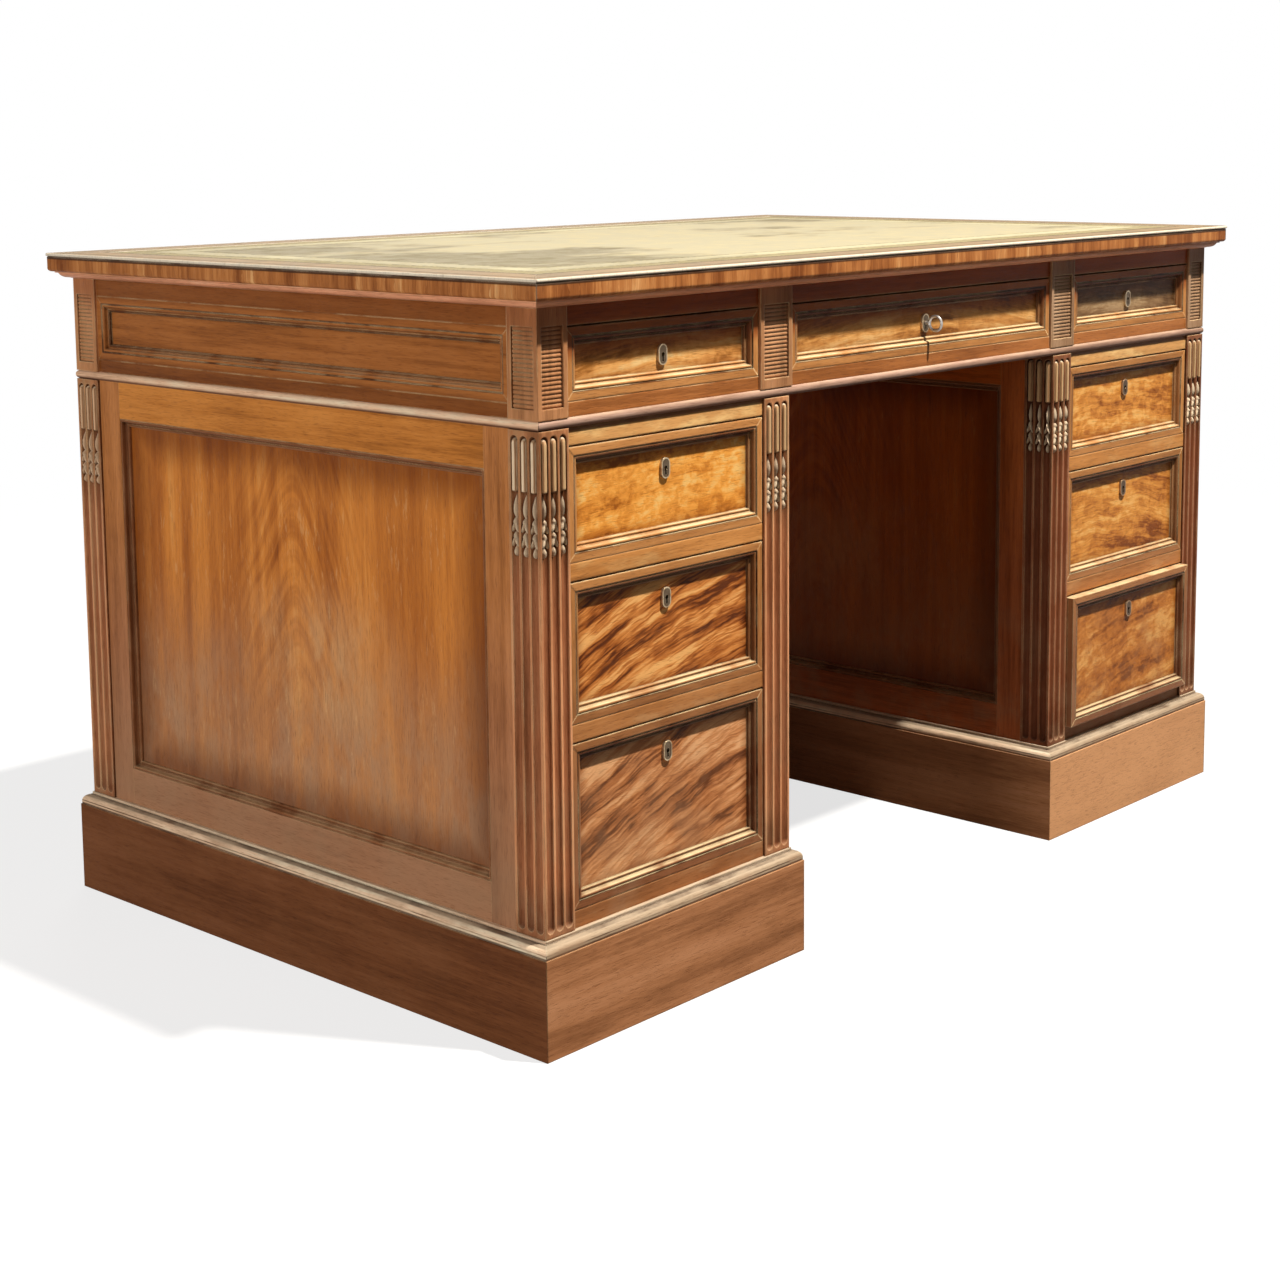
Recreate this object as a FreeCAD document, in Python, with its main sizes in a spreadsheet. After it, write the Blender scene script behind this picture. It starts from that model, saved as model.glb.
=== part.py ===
import FreeCAD, Part
import Sketcher
import os
import re

# A pedestal desk in three sections: a frieze section with a leather writing top and three drawers,
# standing on two pedestals of three graduated drawers each. Lengths are in millimetres. The origin
# is on the floor under the middle of the desk, +X runs along the front and the front faces -Y.

doc = FreeCAD.newDocument("desk")
sheet = doc.addObject("Spreadsheet::Sheet", "sizes")

driving_sizes = [
    ("carcass_width", 1311, "over the pilaster faces, end to end"),
    ("carcass_depth", 779, "over the pilaster faces, front to back"),
    ("pedestal_width", 387, "over the pilaster faces of one pedestal"),
    ("plinth_height", 105, "plain plinth board"),
    ("plinth_thickness", 20, "plinth board"),
    ("plinth_overhang", 12, "plinth face in front of the pilaster face"),
    ("plinth_moulding_height", 15, "moulding on top of the plinth"),
    ("plinth_moulding_width", 52, "from its edge to its inner side"),
    ("floor_thickness", 12, "board that closes the pedestal below"),
    ("rail_height", 18, "rails between the pedestal drawers"),
    ("rail_depth", 60, "rails, front to back"),
    ("deep_opening", 174, "opening of the bottom drawer"),
    ("middle_opening", 146, "opening of the middle drawer"),
    ("shallow_opening", 118, "opening of the top drawer"),
    ("pilaster_width", 42, "square corner post"),
    ("flute_radius", 5.2, "hollow of a flute"),
    ("flute_lift", 1.2, "centre of the hollow in front of the face"),
    ("flute_spacing", 13, "from one flute to the next"),
    ("flute_stop", 5, "plain length of post past the end of a flute"),
    ("frame_setback", 3, "panelled sides behind the pilaster face"),
    ("frame_thickness", 22, "stiles and rails of the panelled sides"),
    ("stile_width", 38, "upright of a panelled side"),
    ("frame_rail_height", 43, "cross rail of a panelled side"),
    ("panel_thickness", 10, "board in a panelled side"),
    ("panel_moulding_width", 10, "moulding round a panel"),
    ("panel_moulding_depth", 9, "panel behind the face of its frame"),
    ("bead_height", 10, "half-round frame under the frieze"),
    ("bead_overhang", 1, "nose of the bead in front of the pilaster face"),
    ("bead_frame_width", 45, "from the nose to the inner side"),
    ("frieze_foot_rail", 15, "rail under the frieze drawers"),
    ("frieze_opening", 75, "opening of a frieze drawer"),
    ("frieze_head_rail", 20, "rail over the frieze drawers"),
    ("block_width", 54, "block between two frieze drawers"),
    ("block_panel_margin", 6, "plain edge beside the sunk panel of a block"),
    ("block_panel_foot", 11, "plain edge under the sunk panel"),
    ("block_panel_head", 19, "plain edge over the sunk panel"),
    ("block_panel_depth", 4, "depth of the sunk panel"),
    ("cove_height", 8, "moulding under the top"),
    ("cove_width", 56, "from its edge to its inner side"),
    ("cove_setback", 7, "edge of the cove behind the edge of the top"),
    ("border_thickness", 22, "banded border of the top"),
    ("border_width", 52, "from the edge of the top to the leather"),
    ("top_overhang", 22, "edge of the top in front of the pilaster face"),
    ("leather_thickness", 2, "writing leather"),
    ("leather_drop", 0.5, "leather under the border"),
    ("front_setback", 3, "drawers and rails behind the pilaster face"),
    ("planted_width", 18, "moulded edge planted on a drawer front"),
    ("planted_depth", 8, "field of a drawer front behind its edge"),
    ("front_thickness", 16, "drawer front behind its moulded edge"),
    ("front_top_gap", 2, "gap over a drawer front"),
    ("front_foot_gap", 0.5, "gap under a drawer front"),
    ("drawer_side_gap", 1, "gap beside a drawer"),
    ("runner_gap", 0.3, "drawer side over its runner"),
    ("drawer_back_gap", 66, "behind a closed drawer"),
    ("drawer_wall", 10, "drawer side and back"),
    ("drawer_bottom_thickness", 7, "drawer bottom"),
    ("drawer_bottom_rise", 8, "drawer bottom over the lower edge of the sides"),
    ("drawer_side_drop", 10, "drawer side under the top of its opening"),
    ("runner_reach", 16, "runner under the drawer side"),
    ("guide_height", 20, "strip that guides a drawer side"),
    ("ajar_out", 12, "bottom right drawer, standing open"),
    ("lock_width", 50, "lock case"),
    ("lock_height", 50, "lock case"),
    ("lock_depth", 11, "lock case, front to back"),
    ("lock_wall", 1.5, "plates of the lock case"),
    ("bolt_width", 24, "lock bolt"),
    ("bolt_thickness", 4, "lock bolt"),
    ("bolt_length", 16, "lock bolt"),
    ("bolt_clearance", 0.3, "round the bolt in its case"),
    ("mortise_depth", 6, "hole for the bolt in the rail"),
    ("mortise_clearance", 1, "round the bolt in the rail"),
    ("keyhole_drop", 38, "keyhole under the top edge of a drawer front"),
    ("keyhole_radius", 2.5, "round part of the keyhole"),
    ("keyhole_slot_width", 2.4, "straight part of the keyhole"),
    ("keyhole_slot_length", 7, "straight part, from the middle of the round part"),
    ("key_chamber_radius", 8, "room for the bit in the lock"),
    ("escutcheon_width", 13, "brass ring round the keyhole"),
    ("escutcheon_length", 22, "brass ring round the keyhole"),
    ("escutcheon_depth", 3, "brass ring, out from the field"),
    ("key_shank_radius", 2.45, "shank of the key"),
    ("key_shank_length", 5, "shank outside the escutcheon"),
    ("key_bow_radius", 8.5, "middle of the ring of the key"),
    ("key_bow_wire", 1.7, "half the thickness of the ring"),
    ("key_bit_length", 6.5, "bit, from the middle of the shank"),
    ("key_bit_width", 4, "bit, along the shank"),
    ("key_bit_thickness", 2, "bit"),
    ("cut_overrun", 2, "cutters past the face that they cut"),
]
for row, (alias, value, note) in enumerate(driving_sizes, start=1):
    sheet.set(f"A{row}", note)
    sheet.set(f"B{row}", str(value))
    sheet.setAlias(f"B{row}", alias)
doc.recompute()

flutes_per_face = 3
nodes = []


def cells(text):
    """An expression on the sheet: every word with an underscore is the name of a size."""
    return re.sub(r"[a-z]+(?:_[a-z]+)+", r"sizes.\g<0>", text)


def number(text):
    """The value of an expression, in millimetres."""
    return sheet.evalExpression(re.sub(r"[a-z]+(?:_[a-z]+)+", r".\g<0>", text))


def bind(piece, **sizes):
    """Tie properties of a piece to expressions on the sheet."""
    for name, text in sizes.items():
        piece.setExpression(name, cells(text))
    return piece


def put(piece, place, turn=FreeCAD.Rotation()):
    """Turn a piece and tie its place to the sheet."""
    piece.Placement = FreeCAD.Placement(FreeCAD.Vector(), turn)
    for axis, text in zip("xyz", place):
        piece.setExpression(f"Placement.Base.{axis}", cells(text))
    return piece


def board(name, x, y, z):
    """A square-edged board between two planes along each axis."""
    piece = doc.addObject("Part::Box", name)
    for side, (low, high) in zip(("Length", "Width", "Height"), (x, y, z)):
        piece.setExpression(side, cells(f"({high}) - ({low})"))
    return put(piece, (x[0], y[0], z[0]))


def rod(name, radius, length, place, turn=FreeCAD.Rotation()):
    """A round bar that starts at a place and runs along its own axis."""
    piece = bind(doc.addObject("Part::Cylinder", name), Radius=radius, Height=length)
    return put(piece, place, turn)


def joined(name, pieces):
    """Several shapes made into one."""
    piece = doc.addObject("Part::MultiFuse", name)
    piece.Shapes = pieces
    return piece


def cut(name, base, tools):
    """A piece with one or more tools cut away."""
    piece = doc.addObject("Part::Cut", name)
    piece.Base = base
    piece.Tool = tools[0] if len(tools) == 1 else joined(name + "_tools", tools)
    return piece


def node(label, pieces):
    """A named sub-part: one piece, or a group of separate pieces."""
    group = doc.addObject("Part::Compound", label)
    group.Links = pieces
    group.Label = label
    nodes.append(group)


# Faces of the desk. On each face u runs to the right of someone who looks at it, v runs up and n
# runs out of the desk, all from the origin. The plan has u along +X, v along +Y and n up.
upright = FreeCAD.Rotation(FreeCAD.Vector(1, 0, 0), 90)
vertical = FreeCAD.Vector(0, 0, 1)
face_turns = {
    "front": upright,
    "right": FreeCAD.Rotation(vertical, 90) * upright,
    "back": FreeCAD.Rotation(vertical, 180) * upright,
    "left": FreeCAD.Rotation(vertical, 270) * upright,
    "plan": FreeCAD.Rotation(),
}


def on_face(face, u, v, n):
    """The x, y and z of a point on a face."""
    return {
        "front": (u, f"-({n})", v),
        "right": (n, u, v),
        "back": (f"-({u})", n, v),
        "left": (f"-({n})", f"-({u})", v),
        "plan": (u, v, n),
    }[face]


def slab(name, face, u, v, n):
    """A board that lies on a face, between two values of u, v and n."""
    flip_u = (f"-({u[1]})", f"-({u[0]})")
    flip_n = (f"-({n[1]})", f"-({n[0]})")
    spans = {
        "front": (u, flip_n, v),
        "right": (n, u, v),
        "back": (flip_u, n, v),
        "left": (flip_n, flip_u, v),
    }
    return board(name, *spans[face])


def section(name, width, depth, outline):
    """The section of a moulding. Its points are shares of the width, from the outer edge inwards,
    and of the depth. The third number is the rise of the arc that leads to the point, as a share
    of its chord: zero for a straight line, positive where it swells out of the section."""
    sketch = doc.addObject("Sketcher::SketchObject", name)
    sketch.Placement = FreeCAD.Placement(FreeCAD.Vector(), FreeCAD.Rotation(FreeCAD.Vector(1, 1, 1), 120))
    corners = [FreeCAD.Vector(a * number(width), b * number(depth)) for a, b, rise in outline]
    ends = []
    for index, (a, b, rise) in enumerate(outline):
        start, end = corners[index - 1], corners[index]
        if rise:
            chord = end - start
            middle = (start + end) / 2 + FreeCAD.Vector(-chord.y, chord.x) * rise
            arc = Part.Arc(start, middle, end) if rise < 0 else Part.Arc(end, middle, start)
            edge = sketch.addGeometry(arc, False)
            before = outline[index - 1]
            chord_text = f"sqrt((({a - before[0]}) * {width})^2 + (({b - before[1]}) * {depth})^2)"
            bend_share = (1 / 4 + rise**2) / (2 * abs(rise))
            radius = sketch.addConstraint(Sketcher.Constraint("Radius", edge, chord.Length * bend_share))
            sketch.setExpression(f"Constraints[{radius}]", cells(f"{chord_text} * {bend_share}"))
            ends.append((edge, 1, 2) if rise < 0 else (edge, 2, 1))
        else:
            ends.append((sketch.addGeometry(Part.LineSegment(start, end), False), 1, 2))
    for index, (a, b, rise) in enumerate(outline):
        edge, first, last = ends[index]
        follower = ends[(index + 1) % len(ends)]
        sketch.addConstraint(Sketcher.Constraint("Coincident", edge, last, follower[0], follower[1]))
        for kind, share, size, value in (("DistanceX", a, width, corners[index].x),
                                         ("DistanceY", b, depth, corners[index].y)):
            place = sketch.addConstraint(Sketcher.Constraint(kind, -1, 1, edge, last, value))
            sketch.setExpression(f"Constraints[{place}]", cells(f"{share} * ({size})"))
    return sketch


def mitred_block(name, run, width, depth, overrun):
    """A bar with a mitre at each end, its long edge at the outside."""
    piece = doc.addObject("Part::Wedge", name)
    low = f"-({overrun})"
    high = f"({depth}) + ({overrun})"
    inner = f"({width}) + ({overrun})"
    bind(piece, Ymin=low, Ymax=inner, Zmin=low, Zmax=high, Z2min=low, Z2max=high)
    return bind(piece, Xmin=low, Xmax=f"({run}) + ({overrun})", X2min=inner, X2max=f"({run}) - ({inner})")


def mitred_length(name, shape, run, width, depth):
    """A length of moulding: its section drawn out along the run, then mitred at both ends."""
    stock = doc.addObject("Part::Extrusion", name + "_stock")
    stock.Base = shape
    stock.DirMode = "Custom"
    stock.Dir = FreeCAD.Vector(1, 0, 0)
    stock.Solid = True
    bind(stock, LengthFwd=run)
    piece = doc.addObject("Part::Common", name)
    piece.Base = stock
    piece.Tool = mitred_block(name + "_mitre", run, width, depth, "cut_overrun")
    return piece


def mitred_frame(name, face, u, v, n, shape, width, depth):
    """Four mitred lengths round a rectangle, standing out from n. With no section they are plain."""
    across = f"({u[1]}) - ({u[0]})"
    up = f"({v[1]}) - ({v[0]})"
    corners = [(u[0], v[0], across), (u[1], v[0], up), (u[1], v[1], across), (u[0], v[1], up)]
    lengths = []
    for quarter, (corner_u, corner_v, run) in enumerate(corners):
        title = f"{name}_length_{quarter + 1}"
        if shape:
            piece = mitred_length(title, shape, run, width, depth)
        else:
            piece = mitred_block(title, run, width, depth, "0")
        turn = face_turns[face] * FreeCAD.Rotation(vertical, 90 * quarter)
        lengths.append(put(piece, on_face(face, corner_u, corner_v, n), turn))
    return lengths


# Levels, from the floor up.
half_width = "carcass_width / 2"
half_depth = "carcass_depth / 2"
pedestal_foot = "(plinth_height + plinth_moulding_height)"
deep_low = f"({pedestal_foot} + rail_height)"
deep_high = f"({deep_low} + deep_opening)"
middle_low = f"({deep_high} + rail_height)"
middle_high = f"({middle_low} + middle_opening)"
shallow_low = f"({middle_high} + rail_height)"
shallow_high = f"({shallow_low} + shallow_opening)"
pedestal_head = f"({shallow_high} + rail_height)"
bead_top = f"({pedestal_head} + bead_height)"
frieze_low = f"({bead_top} + frieze_foot_rail)"
frieze_high = f"({frieze_low} + frieze_opening)"
frieze_top = f"({frieze_high} + frieze_head_rail)"
cove_top = f"({frieze_top} + cove_height)"
desk_top = f"({cove_top} + border_thickness)"

# Sections of the mouldings.
planted_shares = [(0, 0, 0), (0, 1, 0), (0.5, 1, 0), (0.53, 0.84, 0), (0.72, 0.72, 0.4), (0.74, 0.6, 0),
                  (0.84, 0.32, -0.2), (0.98, 0.2, 0.42), (1, 0, 0)]
panel_shares = [(0, 0, 0), (0, 0.92, 0), (0.06, 0.92, 0), (0.36, 0.8, 0.42), (0.4, 0.64, 0),
                (0.66, 0.3, -0.2), (0.95, 0.2, 0.42), (1, 0, 0)]
bead_shares = [(0.1, 0, 0), (0, 0.5, 0.2071), (0.1, 1, 0.2071), (1, 1, 0), (1, 0, 0)]
plinth_shares = [(0.02, 0, 0), (0.02, 0.2, 0), (0.16, 0.78, 0.2), (0.2, 0.78, 0), (0.2, 1, 0), (1, 1, 0),
                 (1, 0, 0)]
cove_shares = [(0.25, 0, 0), (0.22, 0.1, 0), (0.05, 0.82, 0.18), (0, 0.82, 0), (0, 1, 0), (1, 1, 0),
               (1, 0, 0)]
border_shares = [(0.1, 0, 0), (0.02, 0.16, 0.2), (0.02, 0.78, 0), (0.035, 0.81, 0), (0.012, 0.84, 0),
                 (0, 0.92, 0.2), (0.025, 1, 0.2), (1, 1, 0), (1, 0, 0)]
planted_section = section("planted_section", "planted_width", "planted_depth", planted_shares)
panel_section = section("panel_section", "panel_moulding_width", "panel_moulding_depth", panel_shares)
bead_section = section("bead_section", "bead_frame_width", "bead_height", bead_shares)
plinth_section = section("plinth_section", "plinth_moulding_width", "plinth_moulding_height", plinth_shares)
cove_section = section("cove_section", "cove_width", "cove_height", cove_shares)
border_section = section("border_section", "border_width", "border_thickness", border_shares)


def pilaster(name, x, y, out_x, out_y):
    """A corner post with stopped flutes on its two outward faces."""
    half = "pilaster_width / 2"
    post = board(name + "_post", (f"{x} - {half}", f"{x} + {half}"), (f"{y} - {half}", f"{y} + {half}"),
                 (pedestal_foot, pedestal_head))
    low = f"{pedestal_foot} + flute_stop + flute_radius"
    high = f"{pedestal_head} - flute_stop - flute_radius"
    hollows = []
    for step in range(flutes_per_face):
        along = f"{step - (flutes_per_face - 1) / 2} * flute_spacing"
        for flute_x, flute_y in ((f"{x} + {out_x} * ({half} + flute_lift)", f"{y} + {along}"),
                                 (f"{x} + {along}", f"{y} + {out_y} * ({half} + flute_lift)")):
            place = (flute_x, flute_y, low)
            hollows.append(rod(name + "_hollow", "flute_radius", f"{high} - ({low})", place))
            for level in (low, high):
                ball = bind(doc.addObject("Part::Sphere", name + "_stop"), Radius="flute_radius")
                hollows.append(put(ball, (flute_x, flute_y, level)))
    return cut(name, post, hollows)


def panelled(name, face, u, n):
    """A frame and panel of a pedestal: stiles and rails, panel, and the moulding round the panel."""
    v = (pedestal_foot, pedestal_head)
    inner_u = (f"{u[0]} + stile_width", f"{u[1]} - stile_width")
    inner_v = (f"{v[0]} + frame_rail_height", f"{v[1]} - frame_rail_height")
    thick = (f"{n} - frame_thickness", n)
    field = f"{n} - panel_moulding_depth"
    frame = [
        slab(name + "_stile", face, (u[0], inner_u[0]), v, thick),
        slab(name + "_stile", face, (inner_u[1], u[1]), v, thick),
        slab(name + "_foot_rail", face, inner_u, (v[0], inner_v[0]), thick),
        slab(name + "_head_rail", face, inner_u, (inner_v[1], v[1]), thick),
    ]
    panel = slab(name + "_panel", face, inner_u, inner_v, (f"{field} - panel_thickness", field))
    mouldings = mitred_frame(name + "_panel_moulding", face, inner_u, inner_v, field, panel_section,
                             "panel_moulding_width", "panel_moulding_depth")
    return frame, panel, mouldings


def mortise(name, x, n, top, reach):
    """The hole that a rail has for a lock bolt: x is its middle and reach lengthens it forwards."""
    bolt_back = f"{n} - planted_depth - front_thickness + lock_wall"
    wide = "bolt_width / 2 + mortise_clearance"
    bolt_front = f"{bolt_back} + bolt_thickness + {reach}"
    return slab(name, "front", (f"{x} - ({wide})", f"{x} + {wide}"),
                (f"{top} - cut_overrun", f"{top} + mortise_depth"),
                (f"{bolt_back} - mortise_clearance", f"{bolt_front} + mortise_clearance"))


def runners(name, x, low, rail):
    """A runner under each side of a drawer and a guide beside it, between two pairs of planes: the
    carcass that they are fixed to and the side of the opening."""
    y = (f"-{half_depth} + front_setback + rail_depth", f"{half_depth} - pilaster_width")
    (wall_left, edge_left), (edge_right, wall_right) = x
    return [
        board(name + "_runner", (wall_left, f"{edge_left} + runner_reach"), y, (f"{low} - {rail}", low)),
        board(name + "_runner", (f"{edge_right} - runner_reach", wall_right), y, (f"{low} - {rail}", low)),
        board(name + "_guide", (wall_left, edge_left), y, (low, f"{low} + guide_height")),
        board(name + "_guide", (edge_right, wall_right), y, (low, f"{low} + guide_height")),
    ]


front_n = f"({half_depth} - front_setback)"
pedestal_openings = {
    "top": (shallow_low, shallow_high),
    "middle": (middle_low, middle_high),
    "bottom": (deep_low, deep_high),
}
drawer_openings = {}

# Pedestals, left and right. Each stands on a mitred plinth with a moulding round its top edge.
for side, sign in (("left", "-1"), ("right", "1")):
    middle = f"{sign} * (carcass_width - pedestal_width) / 2"
    edge = "pedestal_width / 2"
    outline_u = (f"{middle} - {edge} - plinth_overhang", f"{middle} + {edge} + plinth_overhang")
    outline_v = (f"-{half_depth} - plinth_overhang", f"{half_depth} + plinth_overhang")

    node(f"{side}_plinth", mitred_frame(f"{side}_plinth_board", "plan", outline_u, outline_v, "0", None,
                                        "plinth_thickness", "plinth_height"))

    node(f"{side}_plinth_moulding", mitred_frame(f"{side}_plinth_top", "plan", outline_u, outline_v,
                                                 "plinth_height", plinth_section,
                                                 "plinth_moulding_width", "plinth_moulding_height"))

    # The floor closes the pedestal inside the moulding.
    inner_u = (f"{outline_u[0]} + plinth_moulding_width", f"{outline_u[1]} - plinth_moulding_width")
    inner_v = (f"{outline_v[0]} + plinth_moulding_width", f"{outline_v[1]} - plinth_moulding_width")
    floor_low = f"{pedestal_foot} - floor_thickness"
    floor = board(f"{side}_floor_board", inner_u, inner_v, (floor_low, pedestal_foot))

    # Four fluted corner posts.
    posts = []
    for out_x in (-1, 1):
        for out_y in (-1, 1):
            post_x = f"{middle} + {out_x} * ({edge} - pilaster_width / 2)"
            post_y = f"{out_y} * ({half_depth} - pilaster_width / 2)"
            posts.append(pilaster(f"{side}_pilaster", post_x, post_y, out_x, out_y))
    node(f"{side}_pilasters", posts)

    # Frame and panel on the end, towards the kneehole and at the back.
    frames, panels, mouldings = [], [], []
    side_u = (f"-{half_depth} + pilaster_width", f"{half_depth} - pilaster_width")
    back_u = (f"-({middle}) - {edge} + pilaster_width", f"-({middle}) + {edge} - pilaster_width")
    for face, u, n in (("left", side_u, f"{edge} - ({middle}) - frame_setback"),
                       ("right", side_u, f"{middle} + {edge} - frame_setback"),
                       ("back", back_u, f"{half_depth} - frame_setback")):
        frame, panel, lengths = panelled(f"{side}_{face}", face, u, n)
        frames += frame
        panels.append(panel)
        mouldings += lengths
    node(f"{side}_frames", frames)
    node(f"{side}_panels", panels)
    node(f"{side}_panel_mouldings", mouldings)

    # Front rails between the posts, mortised over each drawer for its lock bolt.
    opening_u = (f"{middle} - {edge} + pilaster_width", f"{middle} + {edge} - pilaster_width")
    rail_n = (f"{front_n} - rail_depth", front_n)
    rails = [slab(f"{side}_foot_rail", "front", opening_u, (pedestal_foot, deep_low), rail_n), floor]
    tracks = []
    wall = f"{edge} - frame_setback - frame_thickness"
    for level, (low, high) in pedestal_openings.items():
        reach = "ajar_out" if (side, level) == ("right", "bottom") else "0"
        rail = slab(f"{side}_{level}_rail", "front", opening_u, (high, f"{high} + rail_height"), rail_n)
        rails.append(cut(f"{side}_{level}_mortised_rail", rail,
                         [mortise(f"{side}_{level}_mortise", middle, front_n, high, reach)]))
        tracks += runners(f"{side}_{level}", ((f"{middle} - ({wall})", opening_u[0]),
                                              (opening_u[1], f"{middle} + {wall}")), low, "rail_height")
        drawer_openings[f"{side}_{level}"] = (opening_u, (low, high), f"{front_n} + {reach}")
    node(f"{side}_rails", rails + tracks)

# Frieze section. A half-round frame lies on the pedestals and carries its blocks and rails.
bead_u = (f"-{half_width} - bead_overhang", f"{half_width} + bead_overhang")
bead_v = (f"-{half_depth} - bead_overhang", f"{half_depth} + bead_overhang")
node("frieze_bead", mitred_frame("frieze_bead_frame", "plan", bead_u, bead_v, pedestal_head, bead_section,
                                 "bead_frame_width", "bead_height"))

# Blocks over the pilasters, each with a sunk panel on its outward faces.
block_middle = f"({half_width} - pedestal_width + pilaster_width / 2)"
corner_middle = f"({half_width} - pilaster_width / 2)"
block_span = (bead_top, frieze_top)
sunk_v = (f"{bead_top} + block_panel_foot", f"{frieze_top} - block_panel_head")
blocks = []
for out_y, face in ((-1, "front"), (1, "back")):
    depth_middle = f"{out_y} * ({half_depth} - pilaster_width / 2)"
    y = (f"{depth_middle} - pilaster_width / 2", f"{depth_middle} + pilaster_width / 2")
    for out_x in (-1, 1):
        for title, across, width in (("corner_block", corner_middle, "pilaster_width"),
                                     ("middle_block", block_middle, "block_width")):
            x = f"{out_x} * {across}"
            u = f"{-out_y * out_x} * {across}"
            name = f"{face}_{title}"
            block = board(name + "_stock", (f"{x} - {width} / 2", f"{x} + {width} / 2"), y, block_span)
            sunk_u = (f"{u} - {width} / 2 + block_panel_margin", f"{u} + {width} / 2 - block_panel_margin")
            sunk = [slab(name + "_sunk_panel", face, sunk_u, sunk_v,
                         (f"{half_depth} - block_panel_depth", f"{half_depth} + cut_overrun"))]
            if title == "corner_block":
                end = "left" if out_x < 0 else "right"
                end_middle = f"{out_x} * ({depth_middle})"
                end_u = (f"{end_middle} - {width} / 2 + block_panel_margin",
                         f"{end_middle} + {width} / 2 - block_panel_margin")
                sunk.append(slab(name + "_end_panel", end, end_u, sunk_v,
                                 (f"{half_width} - block_panel_depth", f"{half_width} + cut_overrun")))
            blocks.append(cut(name, block, sunk))
node("frieze_blocks", blocks)

# The three bays of the frieze, between the blocks, and the two ends.
bay_edge = f"({half_width} - pilaster_width)"
block_outer = f"({block_middle} + block_width / 2)"
block_inner = f"({block_middle} - block_width / 2)"
bays = {
    "left": (f"-{bay_edge}", f"-{block_outer}"),
    "centre": (f"-{block_inner}", block_inner),
    "right": (block_outer, bay_edge),
}
end_u = (f"-{half_depth} + pilaster_width", f"{half_depth} - pilaster_width")
frieze_rails, frieze_fields, frieze_tracks = [], [], []
frieze_v = (frieze_low, frieze_high)


def fielded(name, face, u, v, n, thickness, tools):
    """A front with a moulded edge planted round its field: the board, then the four lengths."""
    field = f"{n} - planted_depth"
    front = slab(name + "_board", face, u, v, (f"{field} - ({thickness})", field))
    if tools:
        front = cut(name + "_cut_board", front, tools)
    return [front] + mitred_frame(name + "_edge", face, u, v, field, planted_section,
                                  "planted_width", "planted_depth")


for bay, u in bays.items():
    rail_n = (f"{front_n} - rail_depth", front_n)
    bay_middle = f"(({u[0]}) + ({u[1]})) / 2"
    head = slab(f"frieze_{bay}_head", "front", u, (frieze_high, frieze_top), rail_n)
    frieze_rails.append(cut(f"frieze_{bay}_head_rail", head,
                            [mortise(f"frieze_{bay}_mortise", bay_middle, front_n, frieze_high, "0")]))
    frieze_rails.append(slab(f"frieze_{bay}_foot_rail", "front", u, (bead_top, frieze_low), rail_n))
    drawer_openings[f"frieze_{bay}"] = (u, frieze_v, front_n)
closed_bays = [("left", end_u, half_width), ("right", end_u, half_width)]
closed_bays += [("back", u, half_depth) for u in bays.values()]
for face, u, edge in closed_bays:
    n = f"{edge} - frame_setback"
    rail_n = (f"{n} - frame_thickness", n)
    frieze_rails.append(slab(f"frieze_{face}_head_rail", face, u, (frieze_high, frieze_top), rail_n))
    frieze_rails.append(slab(f"frieze_{face}_foot_rail", face, u, (bead_top, frieze_low), rail_n))
    frieze_fields += fielded(f"frieze_{face}_field", face, u, frieze_v, n,
                             "frame_thickness - planted_depth", [])
node("frieze_rails", frieze_rails)
node("frieze_fields", frieze_fields)

# Runners and guides of the frieze drawers. Those behind a middle block serve two drawers.
end_wall = f"({half_width} - frame_setback - frame_thickness)"
track_y = (f"-{half_depth} + front_setback + rail_depth", f"{half_depth} - pilaster_width")
for out_x in ("-1", "1"):
    for title, inner, outer, reach_out in (("end", bay_edge, end_wall, "0"),
                                           ("middle", block_inner, block_outer, "runner_reach")):
        edges = [f"{out_x} * ({inner} - runner_reach)", f"{out_x} * ({outer} + {reach_out})"]
        guide_edges = [f"{out_x} * {inner}", f"{out_x} * {outer}"]
        if out_x == "-1":
            edges.reverse()
            guide_edges.reverse()
        frieze_tracks.append(board(f"frieze_{title}_runner", edges, track_y, (bead_top, frieze_low)))
        frieze_tracks.append(board(f"frieze_{title}_guide", guide_edges, track_y,
                                   (frieze_low, f"{frieze_low} + guide_height")))
node("frieze_runners", frieze_tracks)

# Top: a cove under it, a banded border with a moulded edge, a core board and the writing leather.
top_u = (f"-{half_width} - top_overhang", f"{half_width} + top_overhang")
top_v = (f"-{half_depth} - top_overhang", f"{half_depth} + top_overhang")
cove_u = (f"{top_u[0]} + cove_setback", f"{top_u[1]} - cove_setback")
cove_v = (f"{top_v[0]} + cove_setback", f"{top_v[1]} - cove_setback")
leather_u = (f"{top_u[0]} + border_width", f"{top_u[1]} - border_width")
leather_v = (f"{top_v[0]} + border_width", f"{top_v[1]} - border_width")
leather_top = f"({desk_top} - leather_drop)"
leather_low = f"({leather_top} - leather_thickness)"
node("top_cove_moulding", mitred_frame("top_cove", "plan", cove_u, cove_v, frieze_top, cove_section,
                                       "cove_width", "cove_height"))
node("top_border", mitred_frame("top_band", "plan", top_u, top_v, cove_top, border_section,
                                "border_width", "border_thickness"))
node("top_panel", [board("top_core", leather_u, leather_v, (cove_top, leather_low))])
node("writing_leather", [board("leather_sheet", leather_u, leather_v, (leather_low, leather_top))])

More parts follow.
